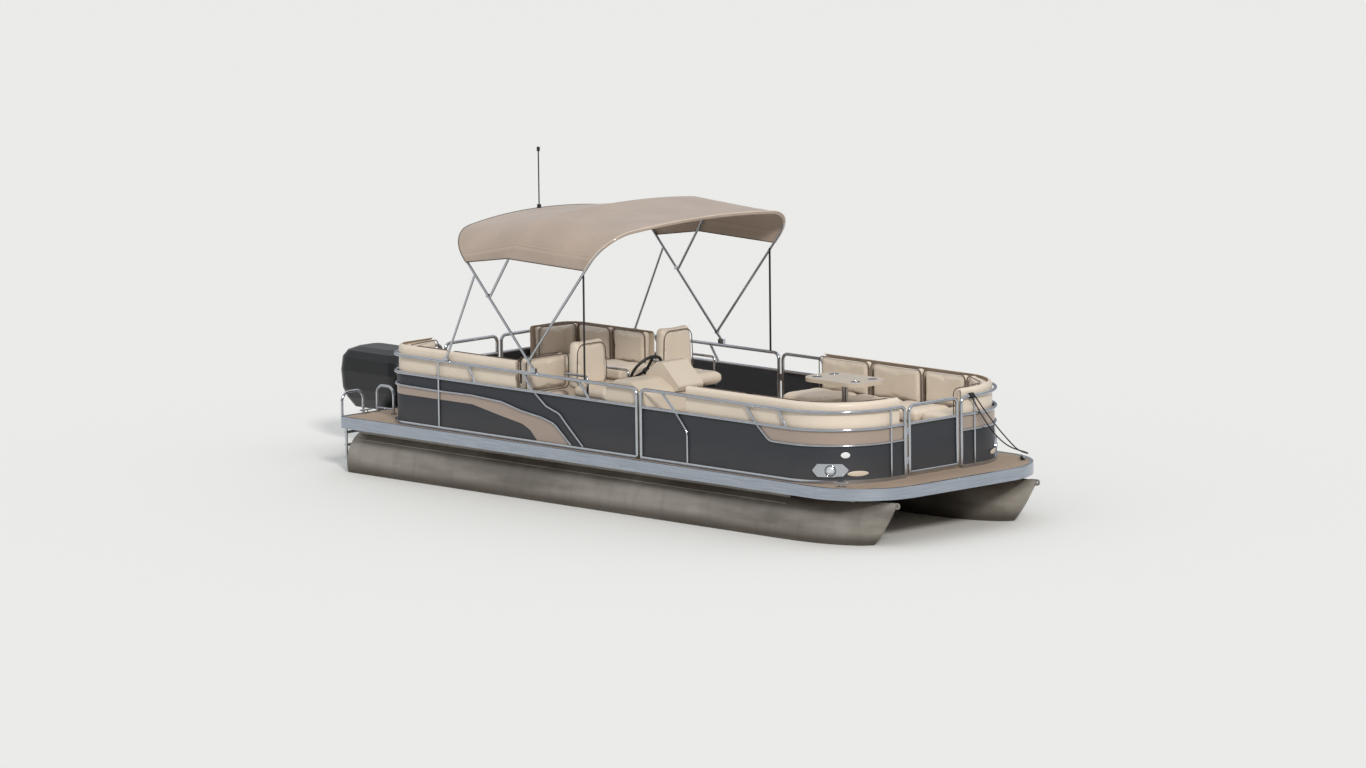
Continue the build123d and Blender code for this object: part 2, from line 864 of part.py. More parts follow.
def along(name, height):
    """Point of a bow's plane at a height above the deck."""
    x, z, lean = canopy_bows[name][:3]
    return (stern + x + lean * (height - z), deck_top + height)


def leg_reach(name, height):
    x, z, lean = canopy_bows[name][:3]
    return (z - height) * sqrt(1 + lean ** 2)


def crown(name):
    """Highest place of the fabric over a bow."""
    x, z, lean, side, drop, radius = canopy_bows[name]
    low = radius * (1 / cos(atan(drop / canopy_half)) - 1) / sqrt(1 + lean ** 2)
    return (stern + x - lean * low, deck_top + z - low)


def canopy_frame():
    pieces = [bow_hoop("rear", leg_reach("rear", 700))]
    pieces.append(bow_hoop("second", leg_reach("second", 1335)))
    pieces.append(bow_hoop("front", leg_reach("front", 775)))
    leg = canopy_half - bow_inset("front")
    rest = deck_top + rail_top + rail_size / 2 + seat_gap
    for sign in (-1, 1):
        y = sign * leg
        foot_x, foot_z = along("rear", 700)
        pieces.append(block(foot_x - 35, foot_x + 35, y - 16, y + 16, rest, foot_z + 12))
        knee_x, knee_z = along("rear", 1335)
        pin_y = sorted([y - 16, y + 16])
        pieces.append(rod((knee_x, pin_y[0], knee_z), (knee_x, pin_y[1], knee_z), 34))
        low_x, low_z = along("front", 775)
        pieces.append(rod((low_x, pin_y[0], low_z), (low_x, pin_y[1], low_z), 34))
        top_x, top_z = along("rear", 1520)
        strut_foot = (stern + 1436, y, deck_top + 684)
        pieces.append(rod((top_x, y, top_z), strut_foot, 22))
        pieces.append(block(stern + 1405, stern + 1465, y - 16, y + 16, rest, deck_top + 700))
    return fuse(pieces)


def canopy_straps():
    straps = []
    for sign in (-1, 1):
        top_x, top_z = along("front", 1640)
        y = sign * (canopy_half - bow_inset("second") - bow_tube / 2 - seat_gap - 3)
        foot_x = stern + 3290
        y0 = min(y, y + sign * 3)
        foot_z = deck_top + rail_top + 15.6
        points = [(foot_x - 12, foot_z), (foot_x + 12, foot_z)]
        points = points + [(top_x + 12, top_z), (top_x - 12, top_z)]
        straps.append(side_slab(points, [0] * 4, y0, y0 + 3))
    return gather(straps)


def light_pole():
    rear_x, rear_z = crown("rear")
    second_x, second_z = crown("second")
    foot = 40
    x = rear_x + 26
    rise = (second_z - rear_z) / (second_x - rear_x)
    z = rear_z + rise * (26 + foot / 2) + seat_gap
    base = rod((x, 0, z), (x, 0, z + 30), foot)
    stem = rod((x, 0, z), (x, 0, z + 535), 12)
    lamp = rod((x, 0, z + 535), (x, 0, z + 575), 30)
    return fuse([base, stem, lamp])


# Stern rails and ladder

ladder_width = 270
ladder_y = (95 - half_beam, 95 - half_beam + ladder_width)
ladder_off = 50
ladder_pin = 60
ladder_tube = 25
pin_size = 12


def ladder_rail():
    """Hand hoop held off the stern rim, with the ladder's pin between its legs."""
    x = stern - ladder_off
    low = deck_top - 95
    high = deck_top + 215
    route = [(x, ladder_y[0], low), (x, ladder_y[0], high), (x, ladder_y[1], high), (x, ladder_y[1], low)]
    pieces = [tube(route, [90, 90], ladder_tube)]
    for y in ladder_y:
        pieces.append(block(stern - 4, stern - seat_gap, y - 20, y + 20, deck_top - 98, deck_top - 8))
        for z in (deck_top - 85, deck_top - 30):
            pieces.append(block(x, stern - 4, y - 8, y + 8, z - 8, z + 8))
    z = deck_top - ladder_pin
    pieces.append(rod((x, ladder_y[0], z), (x, ladder_y[1], z), pin_size))
    return fuse(pieces)


def ladder():
    x = stern - ladder_off
    y0 = ladder_y[0] + 50
    y1 = ladder_y[1] - 50
    high = deck_top - ladder_pin
    low = deck_top - 430
    stiles = []
    for y in (y0, y1):
        stiles.append(rod((x, y, high), (x, y, low), ladder_tube))
        stiles.append(rod((x, y - 14, high), (x, y + 14, high), ladder_tube + 5))
    steps = []
    for drop in (170, 290, 410):
        z = deck_top - drop
        steps.append(block(x - 30, x + 12, y0, y1, z - 12, z + 6))
    hole = rod((x, y0 - 30, high), (x, y1 + 30, high), pin_size + 2 * pin_play)
    return fuse(stiles + steps) - hole


def grab_rail():
    x0 = stern + 60
    x1 = stern + 290
    y = 445 - half_beam
    low = deck_top
    route = [(x0, y, low), (x0, y, low + 260), (x1, y, low + 260), (x1, y, low)]
    pieces = [tube(route, [80, 80], 25), rod((x0, y, low + 45), (x1, y, low + 45), 18)]
    for x in (x0, x1):
        pieces.append(rod((x, y, low), (x, y, low + 10), 50))
    return fuse(pieces)


# Outboard motor

def motor_bracket():
    x0 = motor_x - 290
    x1 = motor_x - 154
    plates = []
    for side in (-1, 1):
        points = [(x1, 40), (x0 + 70, 40), (x0 + 30, 300), (x0 + 60, 500), (x1, 500)]
        y0 = min(side * 112, side * 130)
        plates.append(side_slab(points, [0, 20, 40, 30, 20], y0, y0 + 18))
    brace = block(x1 - 14, x1, -112, 112, 60, 120)
    tilt_x = motor_x + tilt_axis_x
    hole = rod((tilt_x, -200, tilt_axis_z), (tilt_x, 200, tilt_axis_z), 36 + 2 * pin_play)
    return fuse(plates + [brace]) - hole


def motor_swivel():
    x = motor_x + steer_axis_x
    barrel = rod((x, 0, 90), (x, 0, 492), 84)
    arm = block(x, motor_x + tilt_axis_x + 18, -90, 90, 420, 490)
    tilt = rod((motor_x + tilt_axis_x, -145, tilt_axis_z), (motor_x + tilt_axis_x, 145, tilt_axis_z), 36)
    bore = rod((x, 0, 0), (x, 0, 600), 36 + 2 * pin_play)
    return fuse([barrel, arm, tilt]) - bore


def leg_plan(fore, aft, half, height):
    points = [(motor_x + fore, -half), (motor_x + fore, half)]
    points = points + [(motor_x + aft, half * 0.5), (motor_x + aft, -half * 0.5)]
    radii = [half * 0.75, half * 0.75, half * 0.35, half * 0.35]
    return closed_face([(x, y, height) for x, y in points], radii)


def motor_leg():
    x = motor_x + steer_axis_x
    pin = rod((x, 0, 50), (x, 0, 530), 36)
    yokes = [block(x - 130, x + 10, -45, 45, 502, 540), block(x - 130, x + 10, -40, 40, 46, 82)]
    leg = loft([leg_plan(-420, -760, 95, 540), leg_plan(-420, -690, 62, -150)], ruled=True)
    plate = plan_slab(
        [(motor_x - 430, -40), (motor_x - 430, 40), (motor_x - 900, 110), (motor_x - 900, -110)],
        [30, 30, 60, 60], -162, -150)
    strut = loft([leg_plan(-440, -680, 45, -155), leg_plan(-450, -690, 40, shaft_z)], ruled=True)
    case = rod((motor_x - 480, 0, shaft_z), (motor_x - 745, 0, shaft_z), 120)
    snout = Pos(motor_x - 480, 0, shaft_z) * Sphere(60)
    skeg = side_slab(
        [(motor_x - 470, shaft_z), (motor_x - 640, -540), (motor_x - 720, -540), (motor_x - 740, shaft_z)],
        [0, 20, 20, 0], -6, 6)
    bore = rod((motor_x - 600, 0, shaft_z), (motor_x - 800, 0, shaft_z), 26 + 2 * pin_play)
    return fuse([pin] + yokes + [leg, plate, strut, case, snout, skeg]) - bore


cowl_sections = [
    # height, fore, aft, half width
    (405, -525, -965, 150),
    (500, -372, -1030, 212),
    (590, -228, -1062, 245),
    (760, -208, -1075, 255),
    (890, -232, -1058, 243),
    (955, -290, -1005, 210),
    (992, -395, -905, 145),
]


def cowl_face(height, fore, aft, half):
    points = [(fore, -half), (fore, half), (aft, half), (aft, -half)]
    radii = [half * 0.52] * 4
    return closed_face([(motor_x + x, y, height) for x, y in points], radii)


def motor_cowl():
    shell = loft([cowl_face(*row) for row in cowl_sections], ruled=True)
    pocket = loft([leg_plan(-415, -765, 99, 540.3), leg_plan(-415, -765, 99, 300)], ruled=True)
    front = block(motor_x - 460, motor_x - 200, -50, 50, 300, 545)
    return shell - pocket - front


def propeller():
    x0 = motor_x - 748
    hub = rod((x0, 0, shaft_z), (x0 - 110, 0, shaft_z), 96)
    shaft = rod((x0 + 100, 0, shaft_z), (x0 - 20, 0, shaft_z), 26)
    cone = rod((x0 - 105, 0, shaft_z), (x0 - 135, 0, shaft_z), 40)
    blades = []
    for turn in (0, 120, 240):
        blade = Box(8, 120, prop_radius - 40)
        blade = Pos(0, 0, (prop_radius + 20) / 2 + 10) * Rot(0, 0, 32) * blade
        blades.append(Pos(x0 - 55, 0, shaft_z) * Rot(turn, 0, 0) * blade)
    return fuse([hub, shaft, cone] + blades)


# Mooring rope

rope_size = 12
rope_points = [
    # from stern, y, above deck
    (6633.4, 520, 655),
    (6647.2, 600, 545.8),
    (6660.9, 680, 443.3),
    (6674.7, 760, 347.5),
    (6688.5, 840, 258.3),
    (6702.2, 920, 175.8),
    (6716, 1000, 100),
    (6760.2, 1087.7, 62),
    (6691.4, 1136, 62),
    (6640, 1052, 95),
    (6639.1, 970, 128.5),
    (6638.1, 888, 177.4),
    (6637.2, 806, 241.9),
    (6636.2, 724, 321.9),
    (6635.3, 642, 417.4),
    (6634.3, 560, 528.5),
    (6633.4, 478, 655),
]


def mooring_rope():
    route = [(stern + x, y, deck_top + z) for x, y, z in rope_points]
    radii = []
    for a, b, c in zip(route, route[1:], route[2:]):
        back = Vector(*a) - Vector(*b)
        ahead = Vector(*c) - Vector(*b)
        half_turn = radians(180 - back.get_angle(ahead)) / 2
        radii.append(0.45 * min(back.length, ahead.length) / tan(half_turn))
    print("rope bend radii", [round(radius) for radius in radii])
    return tube(route, radii, rope_size)


# Nodes

def build_nodes():
    nodes = {}
    right = Pos(0, -tube_side, 0) * pontoon()
    nodes["pontoon_starboard"] = right
    nodes["pontoon_port"] = to_port(right)
    nodes["crossmembers"] = crossmembers()
    nodes["deck"] = deck()
    nodes["deck_rim"] = deck_rim()
    nodes["motor_pod"] = motor_pod()
    stern_pins = [stern_gate_place * piece for piece in hinge_pins(1)]
    side_pins = [side_gate_place * piece for piece in hinge_pins(1)]
    bow_pins = [bow_gate_place * piece for piece in hinge_pins(1)]
    nodes["fence_aft_starboard"] = fuse([fence_aft_starboard()] + stern_pins)
    nodes["fence_aft_port"] = fuse([fence_aft_port()] + side_pins)
    nodes["fence_bow_starboard"] = fence_bow(bow_pins)
    nodes["fence_bow_port"] = to_port(fence_bow([]))
    nodes["fence_panels"] = fence_panels()
    bands = [aft_band(starboard_aft_path()), aft_band(port_aft_path()), bow_band(), to_port(bow_band())]
    nodes["accent_bands"] = gather(bands)
    nodes["bow_gate"] = bow_gate_place * gate(bow_gate_width)
    nodes["bow_gate_panel"] = bow_gate_place * gate_sheet(bow_gate_width, 1)
    nodes["stern_gate"] = stern_gate_place * gate(stern_gate_width)
    nodes["stern_gate_panel"] = stern_gate_place * gate_sheet(stern_gate_width, -1)
    nodes["side_gate"] = side_gate_place * gate(side_gate_width)
    nodes["side_gate_panel"] = side_gate_place * gate_sheet(side_gate_width, 1)
    nodes["cleats"] = cleats()
    nodes["docking_lights"] = docking_lights()
    nodes["seat_bases"] = seat_bases()
    nodes["seat_cushions"] = seat_cushions()
    nodes["seat_backs"] = seat_backs()
    nodes["end_back"] = end_backs()
    nodes["chair_pedestals"] = chair_pedestals()
    helm_x, helm_y = chair_places[0]
    mate_x, mate_y = chair_places[1]
    nodes["helm_chair_frame"] = Pos(stern + helm_x, helm_y, 0) * chair_frame()
    nodes["helm_chair_pad"] = Pos(stern + helm_x, helm_y, 0) * chair_pad()
    nodes["mate_chair_frame"] = Pos(stern + mate_x, mate_y, 0) * chair_frame()
    nodes["mate_chair_pad"] = Pos(stern + mate_x, mate_y, 0) * chair_pad()
    nodes["console"] = console()
    nodes["steering_wheel"] = steering_wheel()
    nodes["table_top"] = table_top()
    nodes["table_pedestal"] = table_pedestal()
    nodes["canopy"] = canopy()
    nodes["canopy_frame"] = canopy_frame()
    nodes["canopy_straps"] = canopy_straps()
    nodes["light_pole"] = light_pole()
    nodes["ladder_rail"] = ladder_rail()
    nodes["ladder"] = ladder()
    nodes["grab_rail"] = grab_rail()
    nodes["motor_bracket"] = motor_bracket()
    nodes["motor_swivel"] = motor_swivel()
    nodes["motor_leg"] = motor_leg()
    nodes["motor_cowl"] = motor_cowl()
    nodes["propeller"] = propeller()
    nodes["mooring_rope"] = mooring_rope()
    return nodes


for name, shape in build_nodes().items():
    export_step(shape, "parts/" + name + ".step")
    print(name, len(shape.solids()), round(shape.volume / 1e6, 2))
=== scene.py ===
"""Soft goods, fittings and finishes of a pontoon boat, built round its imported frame."""

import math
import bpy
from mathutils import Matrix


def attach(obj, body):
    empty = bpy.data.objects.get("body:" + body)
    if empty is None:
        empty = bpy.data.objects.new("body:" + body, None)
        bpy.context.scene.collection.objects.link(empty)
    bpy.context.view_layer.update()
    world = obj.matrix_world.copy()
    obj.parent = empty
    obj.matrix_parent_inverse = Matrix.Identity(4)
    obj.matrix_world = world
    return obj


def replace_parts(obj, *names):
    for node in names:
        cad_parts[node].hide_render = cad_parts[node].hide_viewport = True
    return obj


bl_info = {
    "name": "Pontoon boat looks",
    "version": (1, 0, 0),
    "blender": (4, 5, 0),
    "location": "View3D > Sidebar > Boat",
    "description": "Soft goods, fittings and finishes of a pontoon boat",
    "category": "Object",
}

import bpy
from mathutils import Matrix, Vector

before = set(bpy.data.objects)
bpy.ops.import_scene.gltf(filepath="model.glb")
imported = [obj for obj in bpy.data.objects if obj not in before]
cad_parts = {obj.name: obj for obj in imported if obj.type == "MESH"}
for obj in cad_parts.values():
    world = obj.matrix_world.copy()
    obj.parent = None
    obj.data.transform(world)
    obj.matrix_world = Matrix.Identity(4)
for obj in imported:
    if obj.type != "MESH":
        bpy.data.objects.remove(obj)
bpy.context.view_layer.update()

# Places and sizes repeated from the solids, in metres

STERN = -3.505
DECK = 0.540
BOW_LINE = 3.106
RAIL_LINE = 1.212
RAIL_TOP = DECK + 0.655
SEAT_LOW = DECK + 0.300
SEAT_HIGH = DECK + 0.430
BACK_OUT = 1.180
BACK_IN = 1.057
BACK_LINE = (BACK_OUT + BACK_IN) / 2
BACK_BEND = 0.5705
BACK_FRONT = BOW_LINE - 0.0935
AFT_LINE = STERN + 0.6635
AFT_BEND = 0.1565
AFT_RETURN = 0.640

LOUNGES = {
    # aft end, fore end, inner edge, side, back height
    "aft_starboard": (0.725, 2.480, 0.580, -1, 0.750),
    "aft_port": (0.725, 1.900, 0.580, 1, 0.718),
    "bow_starboard": (4.600, 6.456, 0.540, -1, 0.740),
    "bow_port": (4.060, 6.456, 0.540, 1, 0.728),
}

RAIL_HALF = 0.016
BOW_BEND = 0.664
LAMP_ANGLE = 38
WING_TURN = 60
CAP_TURN = 50
PANEL_SET = 0.004
LAMP_HEIGHT = 0.122
CLEAT_TURN = -35
TABLE_X = STERN + 5.000
TABLE_Y = 0.480
TABLE_TOP = 0.660

CHAIRS = {
    # x from stern, y, body
    "helm": (2.930, -0.620, "helm_chair"),
    "mate": (2.930, 0.500, "mate_chair"),
}

CANOPY_BOWS = [
    # crown corner x from stern and z over deck, lean, side length, crown drop, crown radius, tube's depth
    (1.3634, 2.028, -0.946, 0.5515, 0.200, 5.2, 0.0187),
    (2.6357, 2.196, 0.680, 0.586, 0.160, 7.0, 0.0205),
    (3.719, 2.140, 0.850, 0.590, 0.160, 7.0, 0.0192),
]
CANOPY_HALF = 1.241
CORNER_BEND = 0.380

ROPE_POINTS = [
    # x from stern, y, over deck
    (6.6334, 0.520, 0.655),
    (6.6472, 0.600, 0.5458),
    (6.6609, 0.680, 0.4433),
    (6.6747, 0.760, 0.3475),
    (6.6885, 0.840, 0.2583),
    (6.7022, 0.920, 0.1758),
    (6.716, 1.000, 0.100),
    (6.7602, 1.0877, 0.062),
    (6.6914, 1.136, 0.062),
    (6.640, 1.052, 0.095),
    (6.6391, 0.970, 0.1285),
    (6.6381, 0.888, 0.1774),
    (6.6372, 0.806, 0.2419),
    (6.6362, 0.724, 0.3219),
    (6.6353, 0.642, 0.4174),
    (6.6343, 0.560, 0.5285),
    (6.6334, 0.478, 0.655),
]


# Colours and shader nodes

def linear(text):
    """Linear colour of an sRGB hex value."""
    parts = [int(text[i:i + 2], 16) / 255 for i in (1, 3, 5)]
    return [c / 12.92 if c <= 0.04045 else ((c + 0.055) / 1.055) ** 2.4 for c in parts] + [1.0]


def start_material(name):
    material = bpy.data.materials.new(name)
    material.use_nodes = True
    return material, material.node_tree.nodes["Principled BSDF"]


def add(material, kind, inputs=None, **settings):
    """Adds a node with its settings, and values or links for its sockets."""
    made = material.node_tree.nodes.new(kind)
    for key, value in settings.items():
        setattr(made, key, value)
    plug(material, made, inputs or {})
    return made


def plug(material, made, inputs):
    for key, value in inputs.items():
        if isinstance(value, bpy.types.NodeSocket):
            material.node_tree.links.new(value, made.inputs[key])
        else:
            made.inputs[key].default_value = value


MATERIALS = {}


def blotches(material, scale, detail, stretch=(1, 1, 1), coordinates="Object"):
    """Noise value on the piece's own coordinates, stretched along its axes."""
    place = add(material, "ShaderNodeTexCoord")
    turned = add(material, "ShaderNodeMapping", {"Vector": place.outputs[coordinates], "Scale": stretch})
    noise = add(material, "ShaderNodeTexNoise",
                {"Vector": turned.outputs[0], "Scale": scale, "Detail": detail})
    return noise.outputs["Fac"]


def build_materials(colours):
    """Every finish of the boat, by name."""
    make_hull_metal(colours)
    make_anodised_rim(colours)
    make_polished_tube()
    make_mill_channel()
    make_panel_paint(colours)
    make_band_paint(colours)
    make_vinyl("cream_vinyl", colours.vinyl, 0.42)
    make_vinyl("piping_vinyl", colours.piping, 0.38)
    make_moulding("cream_skin", colours.vinyl, 0.38)
    make_moulding("cream_moulding", colours.moulding, 0.35)
    make_moulding("white_cap", linear("#dfe0df")[:3], 0.3)
    make_moulding("table_moulding", colours.moulding, 0.25)
    make_canvas("canopy_canvas", colours.canvas)
    make_canvas("hem_tape", colours.hem)
    make_canvas("dark_tape", linear("#4a423c")[:3])
    make_deck_vinyl(colours)
    make_gloss_cowl()
    make_motor_paint()
    make_black_plastic()
    make_chrome()
    make_webbing("black_webbing", "#141416")
    make_webbing("rope_braid", "#17171a")
    make_lens()
    make_dial_face()


def make_hull_metal(colours):
    # Weathered sheet aluminium: rolled, dulled by water, with painted shade darkening the tube's lower curve
    # down to the waterline
    material, shader = start_material("weathered_aluminium")
    mottled = blotches(material, 3.0, 6, (0.35, 1, 1.6))
    streaks = blotches(material, 5.0, 4, (1.6, 1, 0.16))
    pale = list(colours.hull_pale) + [1]
    dark = list(colours.hull_dark) + [1]
    spread = add(material, "ShaderNodeMapRange", {"Value": mottled, "From Min": 0.38, "From Max": 0.64})
    tone = add(material, "ShaderNodeMix", {0: spread.outputs[0], 6: dark, 7: pale}, data_type="RGBA")
    runs = add(material, "ShaderNodeMapRange",
               {"Value": streaks, "From Min": 0.5, "From Max": 0.8, "To Max": 0.28})
    streaked = add(material, "ShaderNodeMix",
                   {0: runs.outputs[0], 6: tone.outputs[2], 7: linear("#57524b")}, data_type="RGBA")
    place = add(material, "ShaderNodeTexCoord")
    split = add(material, "ShaderNodeSeparateXYZ", {0: place.outputs["Object"]})
    wobble = add(material, "ShaderNodeMath", {0: mottled, 1: 0.09}, operation="MULTIPLY")
    height = add(material, "ShaderNodeMath",
                 {0: split.outputs[2], 1: wobble.outputs[0]}, operation="SUBTRACT")
    # Painted shade: darker from the tube's widest point, 0.075 m up, down to the waterline, with a wavering
    # top edge
    underside_shade = add(material, "ShaderNodeMapRange",
               {"Value": height.outputs[0], "From Min": 0.075, "From Max": -0.01, "To Max": 0.75})
    shaded_tone = add(material, "ShaderNodeMix",
              {0: underside_shade.outputs[0], 6: streaked.outputs[2], 7: linear("#453f36")}, data_type="RGBA")
    rough = add(material, "ShaderNodeMapRange", {"Value": mottled, "To Min": 0.38, "To Max": 0.62})
    grain = blotches(material, 220.0, 2, (0.1, 1, 1))
    bump = add(material, "ShaderNodeBump", {"Height": grain, "Strength": 0.06, "Distance": 0.002})
    plug(material, shader, {"Base Color": shaded_tone.outputs[2], "Metallic": 0.55,
                            "Roughness": rough.outputs[0], "Normal": bump.outputs[0]})
    MATERIALS["hull"] = material


def make_anodised_rim(colours):
    # Anodised aluminium extrusion: drawn lines along its length, satin, slightly blue
    material, shader = start_material("anodised_aluminium")
    lines = blotches(material, 160.0, 2, (0.02, 0.02, 1))
    tone = add(material, "ShaderNodeMix",
               {0: lines, 6: linear("#868f9b"), 7: list(colours.rim) + [1]}, data_type="RGBA")
    rough = add(material, "ShaderNodeMapRange",
                {"Value": blotches(material, 5.0, 4), "To Min": 0.20, "To Max": 0.36})
    bump = add(material, "ShaderNodeBump", {"Height": lines, "Strength": 0.06, "Distance": 0.001})
    plug(material, shader, {"Base Color": tone.outputs[2], "Metallic": 1.0,
                            "Roughness": rough.outputs[0], "Normal": bump.outputs[0]})
    MATERIALS["rim"] = material


def make_polished_tube():
    # Polished aluminium tube: bright, with faint wiping marks that dull it in places
    material, shader = start_material("polished_aluminium")
    marks = blotches(material, 9.0, 5)
    rough = add(material, "ShaderNodeMapRange",
                {"Value": marks, "From Min": 0.3, "To Min": 0.10, "To Max": 0.22})
    tone = add(material, "ShaderNodeMix",
               {0: marks, 6: linear("#a4a8ae"), 7: linear("#c6cacf")}, data_type="RGBA")
    plug(material, shader, {"Base Color": tone.outputs[2], "Metallic": 1.0, "Roughness": rough.outputs[0]})
    MATERIALS["tube"] = material


def make_mill_channel():
    # Mill finish aluminium channel: dull grey, lightly scuffed
    material, shader = start_material("mill_aluminium")
    marks = blotches(material, 12.0, 4, (1, 0.2, 1))
    tone = add(material, "ShaderNodeMix",
               {0: marks, 6: linear("#6f6f6c"), 7: linear("#8f8f8b")}, data_type="RGBA")
    plug(material, shader, {"Base Color": tone.outputs[2], "Metallic": 0.7, "Roughness": 0.55})
    MATERIALS["channel"] = material


def make_panel_paint(colours):
    # Painted aluminium sheet: satin charcoal, a little dusty towards its lower edge
    material, shader = start_material("painted_sheet_charcoal")
    cloud = blotches(material, 2.2, 4)
    place = add(material, "ShaderNodeTexCoord")
    split = add(material, "ShaderNodeSeparateXYZ", {0: place.outputs["Object"]})
    low = add(material, "ShaderNodeMapRange",
              {"Value": split.outputs[2], "From Min": 0.80, "From Max": 0.56, "To Max": 0.30})
    dust = add(material, "ShaderNodeMath", {0: low.outputs[0], 1: cloud}, operation="MULTIPLY")
    tone = add(material, "ShaderNodeMix",
               {0: dust.outputs[0], 6: list(colours.panel) + [1], 7: linear("#6d675f")}, data_type="RGBA")
    rough = add(material, "ShaderNodeMapRange", {"Value": cloud, "To Min": 0.42, "To Max": 0.56})
    peel = blotches(material, 260.0, 1)
    bump = add(material, "ShaderNodeBump", {"Height": peel, "Strength": 0.03, "Distance": 0.001})
    plug(material, shader, {"Base Color": tone.outputs[2], "Roughness": rough.outputs[0],
                            "Normal": bump.outputs[0], "Specular IOR Level": 0.35})
    MATERIALS["panel"] = material


def make_band_paint(colours):
    # Painted accent band: satin tan with a fine metallic fleck
    material, shader = start_material("painted_sheet_tan")
    fleck = blotches(material, 400.0, 1)
    tone = add(material, "ShaderNodeMix",
               {0: fleck, 6: linear("#95857a"), 7: list(colours.band) + [1]}, data_type="RGBA")
    plug(material, shader, {"Base Color": tone.outputs[2], "Metallic": 0.2,
                            "Roughness": 0.36, "Coat Weight": 0.3, "Coat Roughness": 0.15})
    MATERIALS["band"] = material


def make_vinyl(name, colour, rough_base):
    # Coated marine vinyl: pebble grain 3 mm across, drawn coarser than life to show, soft satin shine
    material, shader = start_material(name)
    place = add(material, "ShaderNodeTexCoord")
    pebble = add(material, "ShaderNodeTexVoronoi", {"Vector": place.outputs["Object"], "Scale": 330.0})
    folds = blotches(material, 26.0, 3)
    cloud = blotches(material, 3.5, 3)
    tone = add(material, "ShaderNodeMix",
               {0: cloud, 6: [c * 0.86 for c in colour] + [1], 7: list(colour) + [1]}, data_type="RGBA")
    rough = add(material, "ShaderNodeMapRange",
                {"Value": cloud, "To Min": rough_base, "To Max": rough_base + 0.14})
    crease = add(material, "ShaderNodeBump", {"Height": folds, "Strength": 0.12, "Distance": 0.006})
    bump = add(material, "ShaderNodeBump",
               {"Height": pebble.outputs["Distance"], "Strength": 0.10, "Distance": 0.001,
                "Normal": crease.outputs[0]})
    plug(material, shader, {"Base Color": tone.outputs[2], "Roughness": rough.outputs[0],
                            "Normal": bump.outputs[0], "Sheen Weight": 0.08})
    MATERIALS[name] = material


def make_moulding(name, colour, rough_base):
    # Moulded polyethylene: even colour, faint orange peel
    material, shader = start_material(name)
    peel = blotches(material, 180.0, 2)
    cloud = blotches(material, 4.0, 3)
    tone = add(material, "ShaderNodeMix",
               {0: cloud, 6: [c * 0.9 for c in colour] + [1], 7: list(colour) + [1]}, data_type="RGBA")
    bump = add(material, "ShaderNodeBump", {"Height": peel, "Strength": 0.05, "Distance": 0.001})
    plug(material, shader, {"Base Color": tone.outputs[2], "Roughness": rough_base,
                            "Normal": bump.outputs[0]})
    MATERIALS[name] = material


def make_canvas(name, colour):
    # Woven acrylic canvas: threads drawn 4 mm apart so that they show, matt, with a slight sheen
    material, shader = start_material(name)
    place = add(material, "ShaderNodeTexCoord")
    threads = {"Vector": place.outputs["Object"], "Scale": 39.0, "Distortion": 0.4}
    warp = add(material, "ShaderNodeTexWave", threads, bands_direction="X")
    weft = add(material, "ShaderNodeTexWave", threads, bands_direction="Y")
    weave = add(material, "ShaderNodeMath",
                {0: warp.outputs["Fac"], 1: weft.outputs["Fac"]}, operation="MULTIPLY")
    cloud = blotches(material, 2.6, 4)
    worn = add(material, "ShaderNodeMapRange", {"Value": cloud, "From Min": 0.35, "From Max": 0.7})
    tone = add(material, "ShaderNodeMix",
               {0: worn.outputs[0], 6: [c * 0.84 for c in colour] + [1], 7: list(colour) + [1]},
               data_type="RGBA")
    thread = add(material, "ShaderNodeMix",
                 {0: weave.outputs[0], 6: tone.outputs[2], 7: [min(c * 1.16, 1) for c in colour] + [1]},
                 data_type="RGBA")
    bump = add(material, "ShaderNodeBump", {"Height": weave.outputs[0], "Strength": 0.25, "Distance": 0.001})
    plug(material, shader, {"Base Color": thread.outputs[2], "Roughness": 0.88,
                            "Normal": bump.outputs[0], "Sheen Weight": 0.2})
    MATERIALS[name] = material


def make_deck_vinyl(colours):
    # Woven deck vinyl: ribs across the boat, tan, a little worn in patches
    material, shader = start_material("woven_deck_vinyl")
    place = add(material, "ShaderNodeTexCoord")
    ribs = add(material, "ShaderNodeTexWave",
               {"Vector": place.outputs["Object"], "Scale": 26.0, "Distortion": 0.8}, bands_direction="X")
    cloud = blotches(material, 1.8, 5)
    tone = add(material, "ShaderNodeMix",
               {0: cloud, 6: linear("#8f7c6b"), 7: list(colours.floor) + [1]}, data_type="RGBA")
    bump = add(material, "ShaderNodeBump",
               {"Height": ribs.outputs["Fac"], "Strength": 0.2, "Distance": 0.001})
    plug(material, shader, {"Base Color": tone.outputs[2], "Roughness": 0.75, "Normal": bump.outputs[0]})
    MATERIALS["floor"] = material


def make_gloss_cowl():
    # Lacquered motor cover: deep black with a clear coat
    material, shader = start_material("lacquered_cover")
    dust = blotches(material, 6.0, 4)
    rough = add(material, "ShaderNodeMapRange", {"Value": dust, "To Min": 0.26, "To Max": 0.40})
    plug(material, shader, {"Base Color": linear("#0f1012"), "Roughness": rough.outputs[0],
                            "Specular IOR Level": 0.4, "Coat Weight": 0.15, "Coat Roughness": 0.12})
    MATERIALS["cowl"] = material


def make_motor_paint():
    # Powder coated castings: satin black with a fine orange peel
    material, shader = start_material("powder_coated_casting")
    peel = blotches(material, 240.0, 2)
    bump = add(material, "ShaderNodeBump", {"Height": peel, "Strength": 0.08, "Distance": 0.001})
    plug(material, shader, {"Base Color": linear("#1b1c1f"), "Roughness": 0.42, "Normal": bump.outputs[0]})
    MATERIALS["motor"] = material


